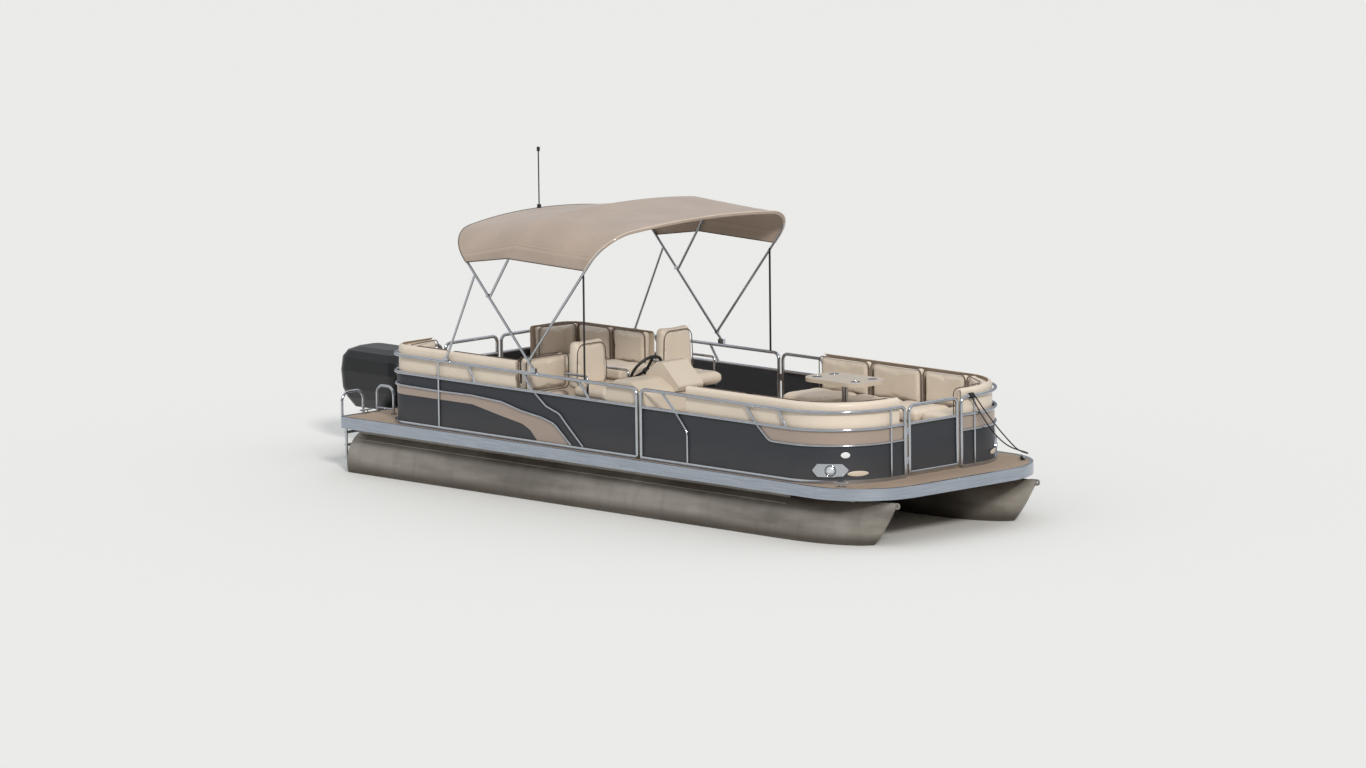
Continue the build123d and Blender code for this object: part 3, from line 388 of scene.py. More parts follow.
def make_black_plastic():
    # Moulded ABS: satin black, lightly textured
    material, shader = start_material("moulded_abs_black")
    peel = blotches(material, 300.0, 2)
    bump = add(material, "ShaderNodeBump", {"Height": peel, "Strength": 0.1, "Distance": 0.001})
    plug(material, shader, {"Base Color": linear("#1a1a1b"), "Roughness": 0.5, "Normal": bump.outputs[0]})
    MATERIALS["plastic"] = material


def make_chrome():
    # Chromed zinc casting: bright, nearly a mirror
    material, shader = start_material("chromed_casting")
    rough = add(material, "ShaderNodeMapRange",
                {"Value": blotches(material, 15.0, 3), "To Min": 0.06, "To Max": 0.18})
    plug(material, shader, {"Base Color": linear("#b4b8bd"), "Metallic": 1.0, "Roughness": rough.outputs[0]})
    MATERIALS["chrome"] = material


def make_webbing(name, text):
    # Woven polyester: ribs about 3 mm apart across the strap or round the rope
    material, shader = start_material(name)
    place = add(material, "ShaderNodeTexCoord")
    ribs = add(material, "ShaderNodeTexWave",
               {"Vector": place.outputs["Object"], "Scale": 52.0, "Distortion": 1.5},
               bands_direction="DIAGONAL")
    tone = add(material, "ShaderNodeMix",
               {0: ribs.outputs["Fac"], 6: linear(text), 7: linear("#2c2c2f")}, data_type="RGBA")
    bump = add(material, "ShaderNodeBump",
               {"Height": ribs.outputs["Fac"], "Strength": 0.4, "Distance": 0.002})
    plug(material, shader, {"Base Color": tone.outputs[2], "Roughness": 0.8, "Normal": bump.outputs[0]})
    MATERIALS[name] = material


def make_lens():
    # Clear moulded lens over a bright reflector
    material, shader = start_material("lamp_lens")
    ribs = blotches(material, 90.0, 1, (1, 1, 0.1))
    bump = add(material, "ShaderNodeBump", {"Height": ribs, "Strength": 0.3, "Distance": 0.002})
    plug(material, shader, {"Base Color": linear("#cfd4d8"), "Metallic": 0.4, "Roughness": 0.12,
                            "Normal": bump.outputs[0], "Coat Weight": 0.8})
    MATERIALS["lens"] = material


def make_dial_face():
    # Instrument glass over a dark printed face, left without marks
    material, shader = start_material("dial_glass")
    cloud = blotches(material, 40.0, 2)
    tone = add(material, "ShaderNodeMix",
               {0: cloud, 6: linear("#101214"), 7: linear("#1d2023")}, data_type="RGBA")
    plug(material, shader, {"Base Color": tone.outputs[2], "Roughness": 0.12, "Coat Weight": 1.0})
    MATERIALS["dial"] = material


NODE_FINISH = {
    "hull": ["pontoon_starboard", "pontoon_port", "motor_pod"],
    "channel": ["crossmembers"],
    "floor": ["deck"],
    "rim": ["deck_rim"],
    "tube": ["fence_aft_starboard", "fence_aft_port", "fence_bow_starboard", "fence_bow_port", "bow_gate",
             "stern_gate", "side_gate", "chair_pedestals", "helm_chair_frame", "mate_chair_frame",
             "table_pedestal", "canopy_frame", "ladder_rail", "ladder", "grab_rail"],
    "panel": ["fence_panels", "bow_gate_panel", "stern_gate_panel", "side_gate_panel"],
    "band": ["accent_bands"],
    "chrome": ["cleats", "docking_lights"],
    "cream_moulding": ["seat_bases", "console"],
    "table_moulding": ["table_top"],
    "plastic": ["steering_wheel", "light_pole"],
    "motor": ["motor_bracket", "motor_swivel", "motor_leg", "propeller"],
    "cowl": ["motor_cowl"],
    "black_webbing": ["canopy_straps"],
}


# Mesh helpers

def deselect():
    if bpy.context.mode != "OBJECT":
        bpy.ops.object.mode_set(mode="OBJECT")
    bpy.ops.object.select_all(action="DESELECT")


def activate(piece):
    deselect()
    piece.select_set(True)
    bpy.context.view_layer.objects.active = piece


def named(name):
    piece = bpy.context.active_object
    piece.name = name
    piece.data.name = name
    return piece


def apply_place(piece):
    activate(piece)
    bpy.ops.object.transform_apply(location=True, rotation=True, scale=True)


def add_block(name, size, centre=(0, 0, 0)):
    deselect()
    bpy.ops.mesh.primitive_cube_add(size=1, location=centre)
    piece = named(name)
    piece.scale = size
    apply_place(piece)
    return piece


def modify(piece, kind, **settings):
    """Adds a modifier with its settings and applies it."""
    activate(piece)
    made = piece.modifiers.new(kind.title(), kind)
    for key, value in settings.items():
        setattr(made, key, value)
    bpy.ops.object.modifier_apply(modifier=made.name)


def smooth(piece, angle=40):
    activate(piece)
    bpy.ops.object.shade_smooth_by_angle(angle=math.radians(angle))


def dress(piece, material, body="boat", angle=None):
    """Finish and body of a piece, shaded smooth up to an angle where one is given."""
    if angle is not None:
        smooth(piece, angle)
    piece.data.materials.clear()
    piece.data.materials.append(MATERIALS[material])
    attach(piece, body)
    return piece


def tube_mesh(name, points, radius, closed=False, sides=3, smooth_path=False):
    """Round tube along points, made from a curve and turned into a mesh."""
    curve = bpy.data.curves.new(name, "CURVE")
    curve.dimensions = "3D"
    curve.bevel_depth = radius
    curve.bevel_resolution = sides
    curve.use_fill_caps = not closed
    spline = curve.splines.new("NURBS" if smooth_path else "POLY")
    spline.points.add(len(points) - 1)
    for target, point in zip(spline.points, points):
        target.co = (*point, 1)
    spline.use_cyclic_u = closed
    if smooth_path:
        spline.order_u = 3
        spline.use_endpoint_u = not closed
    piece = bpy.data.objects.new(name, curve)
    bpy.context.collection.objects.link(piece)
    activate(piece)
    bpy.ops.object.convert(target="MESH")
    return bpy.context.active_object


def join(name, pieces):
    deselect()
    for piece in pieces:
        piece.select_set(True)
    bpy.context.view_layer.objects.active = pieces[0]
    if len(pieces) > 1:
        bpy.ops.object.join()
    return named(name)


# Padded pieces

VOXEL = 0.014
PAD_FRAMES = 20
PAD_CAP = 0.020


def pad_block(name, size, round_edge=0.03, tall_edges=None):
    """Plain bevelled block that the pressure later swells; it starts smaller than its space."""
    shrunk = [side - 0.016 for side in size]
    piece = add_block(name, shrunk)
    if tall_edges:
        corner, radius = tall_edges
        activate(piece)
        bpy.ops.object.mode_set(mode="EDIT")
        bpy.ops.mesh.select_mode(type="EDGE")
        bpy.ops.mesh.select_all(action="DESELECT")
        bpy.ops.object.mode_set(mode="OBJECT")
        points = piece.data.vertices
        for edge in piece.data.edges:
            a, b = (points[i].co for i in edge.vertices)
            upright = abs(a.x - b.x) < 1e-6 and abs(a.y - b.y) < 1e-6
            edge.select = upright and a.x * corner[0] > 0 and a.y * corner[1] > 0
        bpy.ops.object.mode_set(mode="EDIT")
        bpy.ops.mesh.bevel(offset=radius, segments=14)
        bpy.ops.object.mode_set(mode="OBJECT")
    modify(piece, "BEVEL", width=round_edge, segments=3, limit_method="ANGLE")
    modify(piece, "REMESH", mode="VOXEL", voxel_size=VOXEL)
    return piece


def swell(pads):
    """Cloth pressure on all pads at once, each point moving no further than the cap."""
    before = {pad.name: [v.co.copy() for v in pad.data.vertices] for pad in pads}
    scene = bpy.context.scene
    for pad in pads:
        cloth = pad.modifiers.new("Cloth", "CLOTH")
        cloth.settings.quality = 4
        cloth.settings.use_pressure = True
        cloth.settings.uniform_pressure_force = 4
        cloth.settings.effector_weights.gravity = 0
        cloth.settings.tension_stiffness = 25
        cloth.settings.compression_stiffness = 25
        cloth.settings.bending_stiffness = 2
        cloth.point_cache.frame_start = 1
        cloth.point_cache.frame_end = PAD_FRAMES
    for step in range(1, PAD_FRAMES + 1):
        scene.frame_set(step)
    depsgraph = bpy.context.evaluated_depsgraph_get()
    for pad in pads:
        swollen = [v.co.copy() for v in pad.evaluated_get(depsgraph).data.vertices]
        pad.modifiers.clear()
        for vertex, start, end in zip(pad.data.vertices, before[pad.name], swollen):
            move = end - start
            if move.length > PAD_CAP:
                move *= PAD_CAP / move.length
            vertex.co = start + move
    scene.frame_set(1)


def fit_box(piece, size):
    """Scales a pad to stay inside its space."""
    low = [min(v.co[i] for v in piece.data.vertices) for i in range(3)]
    high = [max(v.co[i] for v in piece.data.vertices) for i in range(3)]
    for vertex in piece.data.vertices:
        for i in range(3):
            middle = (low[i] + high[i]) / 2
            vertex.co[i] = (vertex.co[i] - middle) * min(size[i] / (high[i] - low[i]), 1.0)


def outline_points(half_s, half_z, radius, depth, steps=5):
    """Rounded rectangle in s and z at one depth."""
    points = []
    for sx, sz, turn in ((1, 1, 0), (-1, 1, 90), (-1, -1, 180), (1, -1, 270)):
        for k in range(steps + 1):
            angle = math.radians(turn + 90 * k / steps)
            points.append((sx * (half_s - radius) + radius * math.cos(angle), depth,
                           sz * (half_z - radius) + radius * math.sin(angle)))
    return points


def back_point(lounge, s, n, z):
    """Place on the curved line of a lounge's back: s along it from its outer end, n towards the seat."""
    side = LOUNGES[lounge][3]
    if lounge.startswith("bow"):
        first = BACK_FRONT - BACK_BEND - (STERN + LOUNGES[lounge][0])
        bend = BACK_BEND
        turn = (s - first) / bend
        if turn <= 0:
            return Vector((STERN + LOUNGES[lounge][0] + s, side * (BACK_LINE - n), z))
        if turn <= math.pi / 2:
            reach = bend - n
            x = BACK_FRONT - bend + reach * math.sin(turn)
            return Vector((x, side * (BACK_LINE - bend + reach * math.cos(turn)), z))
        left = s - first - bend * math.pi / 2
        return Vector((BACK_FRONT - n, side * (BACK_LINE - bend - left), z))
    first = BACK_LINE - AFT_BEND - AFT_RETURN
    turn = (s - first) / AFT_BEND
    if turn <= 0:
        return Vector((AFT_LINE + n, side * (AFT_RETURN + s), z))
    if turn <= math.pi / 2:
        reach = AFT_BEND - n
        x = AFT_LINE + AFT_BEND - reach * math.cos(turn)
        return Vector((x, side * (BACK_LINE - AFT_BEND + reach * math.sin(turn)), z))
    left = s - first - AFT_BEND * math.pi / 2
    return Vector((AFT_LINE + AFT_BEND + left, side * (BACK_LINE - n), z))


def back_length(lounge):
    """Length of a lounge's back along its middle line."""
    if lounge.startswith("bow"):
        side = BACK_FRONT - BACK_BEND - (STERN + LOUNGES[lounge][0])
        return side + BACK_BEND * math.pi / 2 + BACK_LINE - BACK_BEND - 0.400
    across = BACK_LINE - AFT_BEND - AFT_RETURN
    along = STERN + LOUNGES[lounge][1] - 0.150 - AFT_LINE - AFT_BEND
    return across + AFT_BEND * math.pi / 2 + along


# Where each back is sewn, as shares of its length
BACK_CUTS = {
    "aft_starboard": [0.0, 0.275, 0.52, 0.76, 1.0],
    "aft_port": [0.0, 0.36, 0.68, 1.0],
    "bow_starboard": [0.0, 0.30, 0.60, 0.80, 1.0],
    "bow_port": [0.0, 0.232, 0.464, 0.66, 0.83, 1.0],
}


def back_spans(lounge):
    length = back_length(lounge)
    marks = [share * length for share in BACK_CUTS[lounge]]
    return list(zip(marks, marks[1:]))


def place_on_back(piece, lounge, middle, height):
    for vertex in piece.data.vertices:
        s, n, z = vertex.co
        vertex.co = back_point(lounge, middle + s, n + PAD_SHIFT, height + z)


class BOAT_OT_finishes(bpy.types.Operator):
    """Gives every rigid node its real finish"""
    bl_idname = "boat.finishes"
    bl_label = "Rigid finishes"

    def execute(self, context):
        build_materials(context.scene.boat_colours)
        for finish, nodes in NODE_FINISH.items():
            for node in nodes:
                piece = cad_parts[node]
                piece.data.materials.clear()
                piece.data.materials.append(MATERIALS[finish])
        return {"FINISHED"}


BACK_LOW = 0.360
PAD_DEPTH = 0.104
PAD_SHIFT = 0.007
SHELL_OUT = -0.0605


def recalculate(piece):
    """Faces of a closed piece turned outwards."""
    activate(piece)
    bpy.ops.object.mode_set(mode="EDIT")
    bpy.ops.mesh.select_all(action="SELECT")
    bpy.ops.mesh.normals_make_consistent(inside=False)
    bpy.ops.object.mode_set(mode="OBJECT")


def grid_mesh(name, rows):
    """Sheet of faces through rows of points."""
    deselect()
    across = len(rows[0]) - 1
    along = len(rows) - 1
    bpy.ops.mesh.primitive_grid_add(x_subdivisions=across, y_subdivisions=along, size=1)
    piece = named(name)
    for vertex in piece.data.vertices:
        j = round((vertex.co.x + 0.5) * across)
        k = round((vertex.co.y + 0.5) * along)
        vertex.co = rows[k][j]
    return piece


def back_shell(lounge):
    """Moulded outer skin of a back: one smooth sheet that rolls over the top."""
    high = LOUNGES[lounge][4] - 0.006
    roll = 0.034
    profile = [(SHELL_OUT, BACK_LOW + 0.004), (SHELL_OUT, 0.5), (SHELL_OUT, 0.6), (SHELL_OUT, high - roll)]
    for k in range(1, 7):
        angle = math.radians(90 * k / 6)
        profile.append((SHELL_OUT + roll * (1 - math.cos(angle)), high - roll + roll * math.sin(angle)))
    length = back_length(lounge)
    count = max(12, round(length / 0.03))
    rows = []
    for k in range(count + 1):
        s_place = 0.002 + (length - 0.004) * k / count
        rows.append([back_point(lounge, s_place, n, DECK + z) for n, z in profile])
    shell = grid_mesh("shell_" + lounge, rows)
    modify(shell, "SOLIDIFY", thickness=0.004, offset=0)
    recalculate(shell)
    dress(shell, "cream_skin", angle=50)
    return shell


class BOAT_OT_lounges(bpy.types.Operator):
    """Seat and back cushions of the four lounges"""
    bl_idname = "boat.lounges"
    bl_label = "Lounges"

    def execute(self, context):
        backs = []
        for lounge in BACK_CUTS:
            high = LOUNGES[lounge][4]
            for i, (start, end) in enumerate(back_spans(lounge)):
                size = (end - start - 0.002, PAD_DEPTH, high - BACK_LOW - 0.004)
                pad = pad_block("back_%s_%d" % (lounge, i), size, 0.030)
                backs.append((pad, lounge, (start + end) / 2, DECK + (high + BACK_LOW) / 2, size))
        seats = []
        for lounge, (aft, fore, inner, side, high) in LOUNGES.items():
            count = max(2, round((fore - aft) / 0.62))
            step = (fore - aft) / count
            for i in range(count):
                size = (step - 0.003, BACK_IN - inner - 0.003, SEAT_HIGH - SEAT_LOW - 0.002)
                corner = None
                if lounge.startswith("bow") and i == count - 1:
                    corner = ((1, side), 0.500)
                if lounge.startswith("aft") and i == 0:
                    corner = ((-1, side), 0.110)
                pad = pad_block("seat_%s_%d" % (lounge, i), size, 0.03, corner)
                along = STERN + aft + step * (i + 0.5)
                centre = (along, side * (BACK_IN + inner) / 2, (SEAT_LOW + SEAT_HIGH) / 2)
                seats.append((pad, centre, size))
        end_size = (0.126, 0.576, 0.356)
        end_pad = pad_block("end_back_pad", end_size, 0.045)
        swell([row[0] for row in backs] + [row[0] for row in seats] + [end_pad])
        for pad, lounge, middle, height, size in backs:
            fit_box(pad, size)
            place_on_back(pad, lounge, middle, height)
            self.finish_pad(pad, "seat_backs")
        for pad, centre, size in seats:
            fit_box(pad, size)
            pad.location = centre
            apply_place(pad)
            self.finish_pad(pad, "seat_cushions")
        fit_box(end_pad, end_size)
        end_pad.location = (STERN + 2.405, -0.890, DECK + 0.6115)
        apply_place(end_pad)
        self.finish_pad(end_pad, "end_back")
        for lounge in LOUNGES:
            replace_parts(back_shell(lounge), "seat_backs")
        self.piping()
        return {"FINISHED"}

    def finish_pad(self, pad, node):
        recalculate(pad)
        dress(pad, "cream_vinyl", angle=180)
        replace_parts(pad, node)

    def piping(self):
        """Dark welting round the faces of the backs and along the end of the starboard lounge."""
        loops = []
        for lounge in BACK_CUTS:
            high = LOUNGES[lounge][4]
            for start, end in back_spans(lounge):
                half_s = (end - start) / 2 - 0.014
                half_z = (high - BACK_LOW) / 2 - 0.016
                flat = outline_points(half_s, half_z, 0.05, 0.0)
                middle = (start + end) / 2
                height = DECK + (high + BACK_LOW) / 2
                points = [back_point(lounge, middle + s, 0.050, height + z) for s, n, z in flat]
                loops.append(tube_mesh("welt", points, 0.005, closed=True, sides=2))
        for x in (STERN + 2.352, STERN + 2.458):
            flat = outline_points(0.272, 0.162, 0.05, 0.0)
            points = [(x, -0.890 + s, DECK + 0.6115 + z) for s, n, z in flat]
            loops.append(tube_mesh("welt", points, 0.005, closed=True, sides=2))
        welts = join("back_welting", loops)
        dress(welts, "piping_vinyl", angle=60)


class BOAT_OT_chairs(bpy.types.Operator):
    """Seat and back pads of the two swivel chairs"""
    bl_idname = "boat.chairs"
    bl_label = "Chairs"

    def execute(self, context):
        pads = []
        for name, (x, y, body) in CHAIRS.items():
            seat_size = (0.476, 0.466, 0.122)
            back_size = (0.136, 0.466, 0.476)
            seat = pad_block(name + "_chair_seat", seat_size, 0.04)
            back = pad_block(name + "_chair_back", back_size, 0.045)
            pads.append((seat, (STERN + x + 0.010, y, DECK + 0.457), seat_size, body, name))
            pads.append((back, (STERN + x - 0.220, y, DECK + 0.700), back_size, body, name))
        swell([row[0] for row in pads])
        for pad, centre, size, body, name in pads:
            fit_box(pad, size)
            if size[2] > 0.3:
                self.narrow_top(pad, size[2])
            pad.location = centre
            apply_place(pad)
            dress(pad, "cream_vinyl", body, angle=180)
            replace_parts(pad, name + "_chair_pad")
        welts = []
        for name, (x, y, body) in CHAIRS.items():
            flat = outline_points(0.190, 0.195, 0.075, 0.0)
            points = []
            for s, n, z in flat:
                share = max(0.0, (z + 0.06) / 0.298)
                points.append((STERN + x - 0.156, y + s * (1 - 0.16 * share ** 2), DECK + 0.700 + z))
            welt = tube_mesh(name + "_chair_welt", points, 0.0045, closed=True, sides=2)
            dress(welt, "piping_vinyl", body, angle=60)
        return {"FINISHED"}

    def narrow_top(self, pad, height):
        """Draws a back in towards its headrest and thins it there."""
        for vertex in pad.data.vertices:
            share = max(0.0, (vertex.co.z + 0.06) / (height / 2 + 0.06))
            vertex.co.y *= 1 - 0.16 * share ** 2
            vertex.co.x = vertex.co.x * (1 - 0.22 * share ** 2) - 0.006 * share


# Canopy

def arch_points(bow, inset, count):
    """Evenly spaced points on a bow's arch in its own plane, from starboard to port."""
    side, drop, crown_radius = bow[3:6]
    half = CANOPY_HALF - inset
    slope = math.atan2(drop, CANOPY_HALF)
    corner_turn = math.pi / 2 - slope
    radius = CORNER_BEND - inset
    # The corner where the upright and the sloping side meet, moved in by the inset
    lift = -inset / math.cos(slope)
    top = lift - half * math.tan(slope)
    reach = radius * math.tan(corner_turn / 2)
    dense = [(-half, -side)]
    centre = (-half + radius, top - reach)
    for k in range(13):
        angle = math.pi - corner_turn * k / 12
        dense.append((centre[0] + radius * math.cos(angle), centre[1] + radius * math.sin(angle)))
    crown = crown_radius - inset
    arc_centre = lift - crown / math.cos(slope)
    for k in range(17):
        angle = math.pi / 2 + slope - 2 * slope * k / 16
        dense.append((crown * math.cos(angle), arc_centre + crown * math.sin(angle)))
    dense += [(-u, v) for u, v in reversed(dense[:14])]
    return even(dense, count)


def even(points, count):
    """The same line with points evenly spaced along it."""
    lengths = [0.0]
    for (a, b), (c, d) in zip(points, points[1:]):
        lengths.append(lengths[-1] + math.hypot(c - a, d - b))
    spaced = []
    k = 0
    for i in range(count):
        goal = lengths[-1] * i / (count - 1)
        while k < len(points) - 2 and lengths[k + 1] < goal:
            k += 1
        t = (goal - lengths[k]) / max(lengths[k + 1] - lengths[k], 1e-9)
        spaced.append(tuple(p + (q - p) * t for p, q in zip(points[k], points[k + 1])))
    return spaced, lengths[-1]


def bow_place(bow, u, v):
    x, z, lean = bow[:3]
    scale = math.sqrt(1 + lean * lean)
    return Vector((STERN + x + lean * v / scale, u, DECK + z + v / scale))


ACROSS = 73
ALONG_AFT = 22
ALONG_FORE = 22


class BOAT_OT_canopy(bpy.types.Operator):
    """The canopy's cloth, its hems and the sleeves that hold the bows"""
    bl_idname = "boat.canopy"
    bl_label = "Canopy"

    def execute(self, context):
        cloth_rows = []
        spans = ((0, 1, ALONG_AFT, 0.020), (1, 2, ALONG_FORE, 0.014))
        arches = [arch_points(bow, 0.0, ACROSS)[0] for bow in CANOPY_BOWS]
        for a, b, steps, sag in spans:
            for k in range(steps + (1 if b == 2 else 0)):
                t = k / steps
                hollow = 4 * t * (1 - t)
                row = []
                for j in range(ACROSS):
                    low = bow_place(CANOPY_BOWS[a], *arches[a][j])
                    high = bow_place(CANOPY_BOWS[b], *arches[b][j])
                    point = low.lerp(high, t)
                    across = j / (ACROSS - 1)
                    point.z -= sag * hollow * math.sin(math.pi * across) ** 2
                    point.z -= self.folds(point, b == 2)
                    row.append(point)
                cloth_rows.append(row)
        cloth = grid_mesh("canopy_cloth", cloth_rows)
        recalculate(cloth)
        if cloth.data.polygons[len(cloth.data.polygons) // 2].normal.z < 0:
            bpy.ops.object.mode_set(mode="EDIT")
            bpy.ops.mesh.flip_normals()
            bpy.ops.object.mode_set(mode="OBJECT")
        modify(cloth, "SOLIDIFY", thickness=0.0024, offset=-1)
        dress(cloth, "canopy_canvas", angle=60)
        width = arch_points(CANOPY_BOWS[1], 0.0, 40)[1]
        tape = tube_mesh("canopy_front_hem", cloth_rows[-1], 0.006, sides=2)
        dress(tape, "hem_tape", angle=60)
        hems = [cloth_rows[0], [row[0] for row in cloth_rows], [row[-1] for row in cloth_rows]]
        edge = join("canopy_edges", [tube_mesh("edge", points, 0.005, sides=2) for points in hems])
        dress(edge, "dark_tape", angle=60)
        sleeves = []
        for bow in CANOPY_BOWS:
            points = arch_points(bow, bow[6], 61)[0]
            kept = [bow_place(bow, u, v) for u, v in points if abs(u) < 1.17]
            sleeves.append(tube_mesh("sleeve", kept, 0.0140, sides=3))
        sleeve = join("canopy_sleeves", sleeves)
        dress(sleeve, "canopy_canvas", angle=60)
        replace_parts(cloth, "canopy")
        return {"FINISHED"}

    def folds(self, point, fore):
        """Depth of the creases that run in from the corners of the front bow."""
        depth = 0.0
        if not fore:
            return depth
        for sign in (-1, 1):
            run = STERN + CANOPY_BOWS[2][0] - 0.10 - point.x
            out = CANOPY_HALF - 0.10 - sign * point.y
            reach = math.hypot(run, out)
            angle = math.atan2(out, run)
            fade = math.exp(-(reach / 0.42) ** 2) * min(1.0, reach / 0.15)
            if run > 0 and out > 0:
                fade *= min(1.0, run / 0.06) * min(1.0, out / 0.06)
                depth += 0.007 * fade * (0.5 + 0.5 * math.cos(11 * angle))
        return depth


class BOAT_OT_rope(bpy.types.Operator):
    """Mooring rope from the port bow cleat over the rail"""
    bl_idname = "boat.rope"
    bl_label = "Mooring rope"

    def execute(self, context):
        curve = bpy.data.curves.new("mooring_line", "CURVE")
        curve.dimensions = "3D"
        curve.bevel_depth = 0.006
        curve.bevel_resolution = 4
        curve.use_fill_caps = True
        spline = curve.splines.new("NURBS")
        spline.points.add(len(ROPE_POINTS) - 1)
        for target, (x, y, z) in zip(spline.points, ROPE_POINTS):
            target.co = (STERN + x, y, DECK + z, 1)
        spline.order_u = 3
        spline.use_endpoint_u = True
        rope = bpy.data.objects.new("mooring_line", curve)
        context.collection.objects.link(rope)
        rope.data.materials.append(MATERIALS["rope_braid"])
        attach(rope, "boat")
        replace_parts(rope, "mooring_rope")
        x, y, z = ROPE_POINTS[0]
        knots = self.knots()
        return {"FINISHED"}

    def knots(self):
        """Turns of the rope round the top rail, and a turn round the cleat's legs."""
        turns = []
        ring = RAIL_HALF + 0.0065
        points = []
        for k in range(12 * 5 + 1):
            angle = 2 * math.pi * k / 12
            across = 0.474 + 0.0105 * k / 12
            points.append((BOW_LINE + ring * math.cos(angle), across, RAIL_TOP + ring * math.sin(angle)))
        turns.append(tube_mesh("turns", points, 0.006, sides=3, smooth_path=True))
        for level in (0.016, 0.026):
            points = []
            for k in range(16):
                angle = 2 * math.pi * k / 16
                u, v = 0.040 * math.cos(angle), 0.018 * math.sin(angle)
                turn = math.radians(CLEAT_TURN)
                points.append((STERN + 6.700 + u * math.cos(turn) - v * math.sin(turn),
                               1.075 + u * math.sin(turn) + v * math.cos(turn), DECK + level))
            turns.append(tube_mesh("turns", points, 0.006, closed=True, sides=3, smooth_path=True))
        knots = join("mooring_knots", turns)
        return dress(knots, "rope_braid", angle=60)


# Lamps, dials and cup holders

def aim(piece, point, direction):
    """Turns a piece's own Z along a direction and moves it to a point."""
    turned = Vector(direction).to_track_quat("Z", "Y").to_matrix().to_4x4()
    piece.matrix_world = Matrix.Translation(point) @ turned
    apply_place(piece)


def ring_piece(name, radius, thick, point, direction):
    deselect()
    bpy.ops.mesh.primitive_torus_add(major_radius=radius, minor_radius=thick,
                                     major_segments=40, minor_segments=10)
    piece = named(name)
    aim(piece, point, direction)
    return piece


def dome_piece(name, radius, depth, point, direction):
    """Shallow round dome, a sphere squashed along its axis."""
    deselect()
    bpy.ops.mesh.primitive_uv_sphere_add(segments=40, ring_count=20, radius=1)
    piece = named(name)
    piece.scale = (radius, radius, depth)
    apply_place(piece)
    aim(piece, point, direction)
    return piece


class BOAT_OT_lamps(bpy.types.Operator):
    """Lens and bezel of the two docking lamps, the dials and the cup holders"""
    bl_idname = "boat.lamps"
    bl_label = "Lamps and dials"

    def execute(self, context):
        lenses, bezels, wells, wings, caps = [], [], [], [], []
        for side in (-1, 1):
            turn = math.radians(90 - LAMP_ANGLE)
            out = Vector((math.cos(turn), side * math.sin(turn), 0))
            centre = Vector((BOW_LINE - BOW_BEND, side * (RAIL_LINE - BOW_BEND), DECK + LAMP_HEIGHT))
            face = centre + out * (BOW_BEND + 0.0085)
            lenses.append(dome_piece("lens", 0.036, 0.012, face, out))
            bezels.append(ring_piece("bezel", 0.040, 0.005, face, out))
            bezels.append(ring_piece("bezel", 0.052, 0.003, face, out))
            # Black disc behind each lens that shows only as a thin dark ring between the two bezels: painted
            # shade in the groove between them
            wells.append(dome_piece("well", 0.050, 0.002, face, out))
            wings.append(self.corner_plate("wing", side, WING_TURN, 0.20, 0.050, 0.090))
            caps.append(self.corner_plate("cap", side, CAP_TURN, 0.085, 0.056, 0.262))
        # Painted shade between the bezels, in black plastic
        well = join("lamp_shade_rings", wells)
        dress(well, "plastic", angle=60)
        wing = join("lamp_wings", wings)
        dress(wing, "cream_moulding", angle=40)
        cap = join("filler_caps", caps)
        dress(cap, "white_cap", angle=40)
        lens = join("lamp_lenses", lenses)
        dress(lens, "lens", angle=60)
        bezel = join("lamp_bezels", bezels)
        dress(bezel, "chrome", angle=60)
        self.cups()
        self.dials()
        return {"FINISHED"}

    def corner_plate(self, name, side, turn_degrees, width, height, level):
        """Oval plate bent round the bow corner's sheet."""
        deselect()
        bpy.ops.mesh.primitive_uv_sphere_add(segments=40, ring_count=20, radius=1)
        piece = named(name)
        centre = Vector((BOW_LINE - BOW_BEND, side * (RAIL_LINE - BOW_BEND), DECK + level))
        reach = BOW_BEND - PANEL_SET
        for vertex in piece.data.vertices:
            turn = math.radians(90 - turn_degrees) + vertex.co.x * width / 2 / reach
            out = reach + 0.004 * vertex.co.y + 0.002
            rise = vertex.co.z * height / 2
            vertex.co = centre + Vector((out * math.cos(turn), side * out * math.sin(turn), rise))
        recalculate(piece)
        return piece

    def cups(self):
        """Dark cup holders let into the table."""
        rims, wells = [], []
        for dx in (-0.25, 0.25):
            for dy in (-0.11, 0.11):
                place = Vector((TABLE_X + dx, TABLE_Y + dy, DECK + TABLE_TOP + 0.001))
                rims.append(ring_piece("rim", 0.042, 0.004, place, (0, 0, 1)))
                wells.append(dome_piece("well", 0.040, 0.002, place, (0, 0, 1)))
        rim = join("cup_rims", rims)
        dress(rim, "chrome", angle=60)
        well = join("cup_wells", wells)
        dress(well, "plastic", angle=60)

    def dials(self):
        """Round instruments on the sloping face of the console's hood."""
        along = Vector((0.080, 0, 0.140)).normalized()
        out = Vector((-along.z, 0, along.x))
        middle = Vector((STERN + 3.650, 0, DECK + 0.670)) + out * 0.001
        rings, faces = [], []
        for y, radius in ((-0.720, 0.036), (-0.630, 0.044), (-0.540, 0.036)):
            place = Vector((middle.x, y, middle.z))
            rings.append(ring_piece("ring", radius, 0.005, place, out))
            faces.append(dome_piece("dial", radius - 0.002, 0.003, place, out))
        ring = join("dial_rings", rings)
        dress(ring, "chrome", angle=60)
        face = join("dial_faces", faces)
        dress(face, "dial", angle=60)


# Stage

CAMERA_TURN = 45.897
CAMERA_RISE = 8.703
CAMERA_ROLL = -0.762
CAMERA_REACH = 101.54
CAMERA_LENS = 287.6
CAMERA_AIM = (-0.105, 0.0, 0.84)
CAMERA_SHIFT = (-4.11 / 1366, 21.29 / 1366)


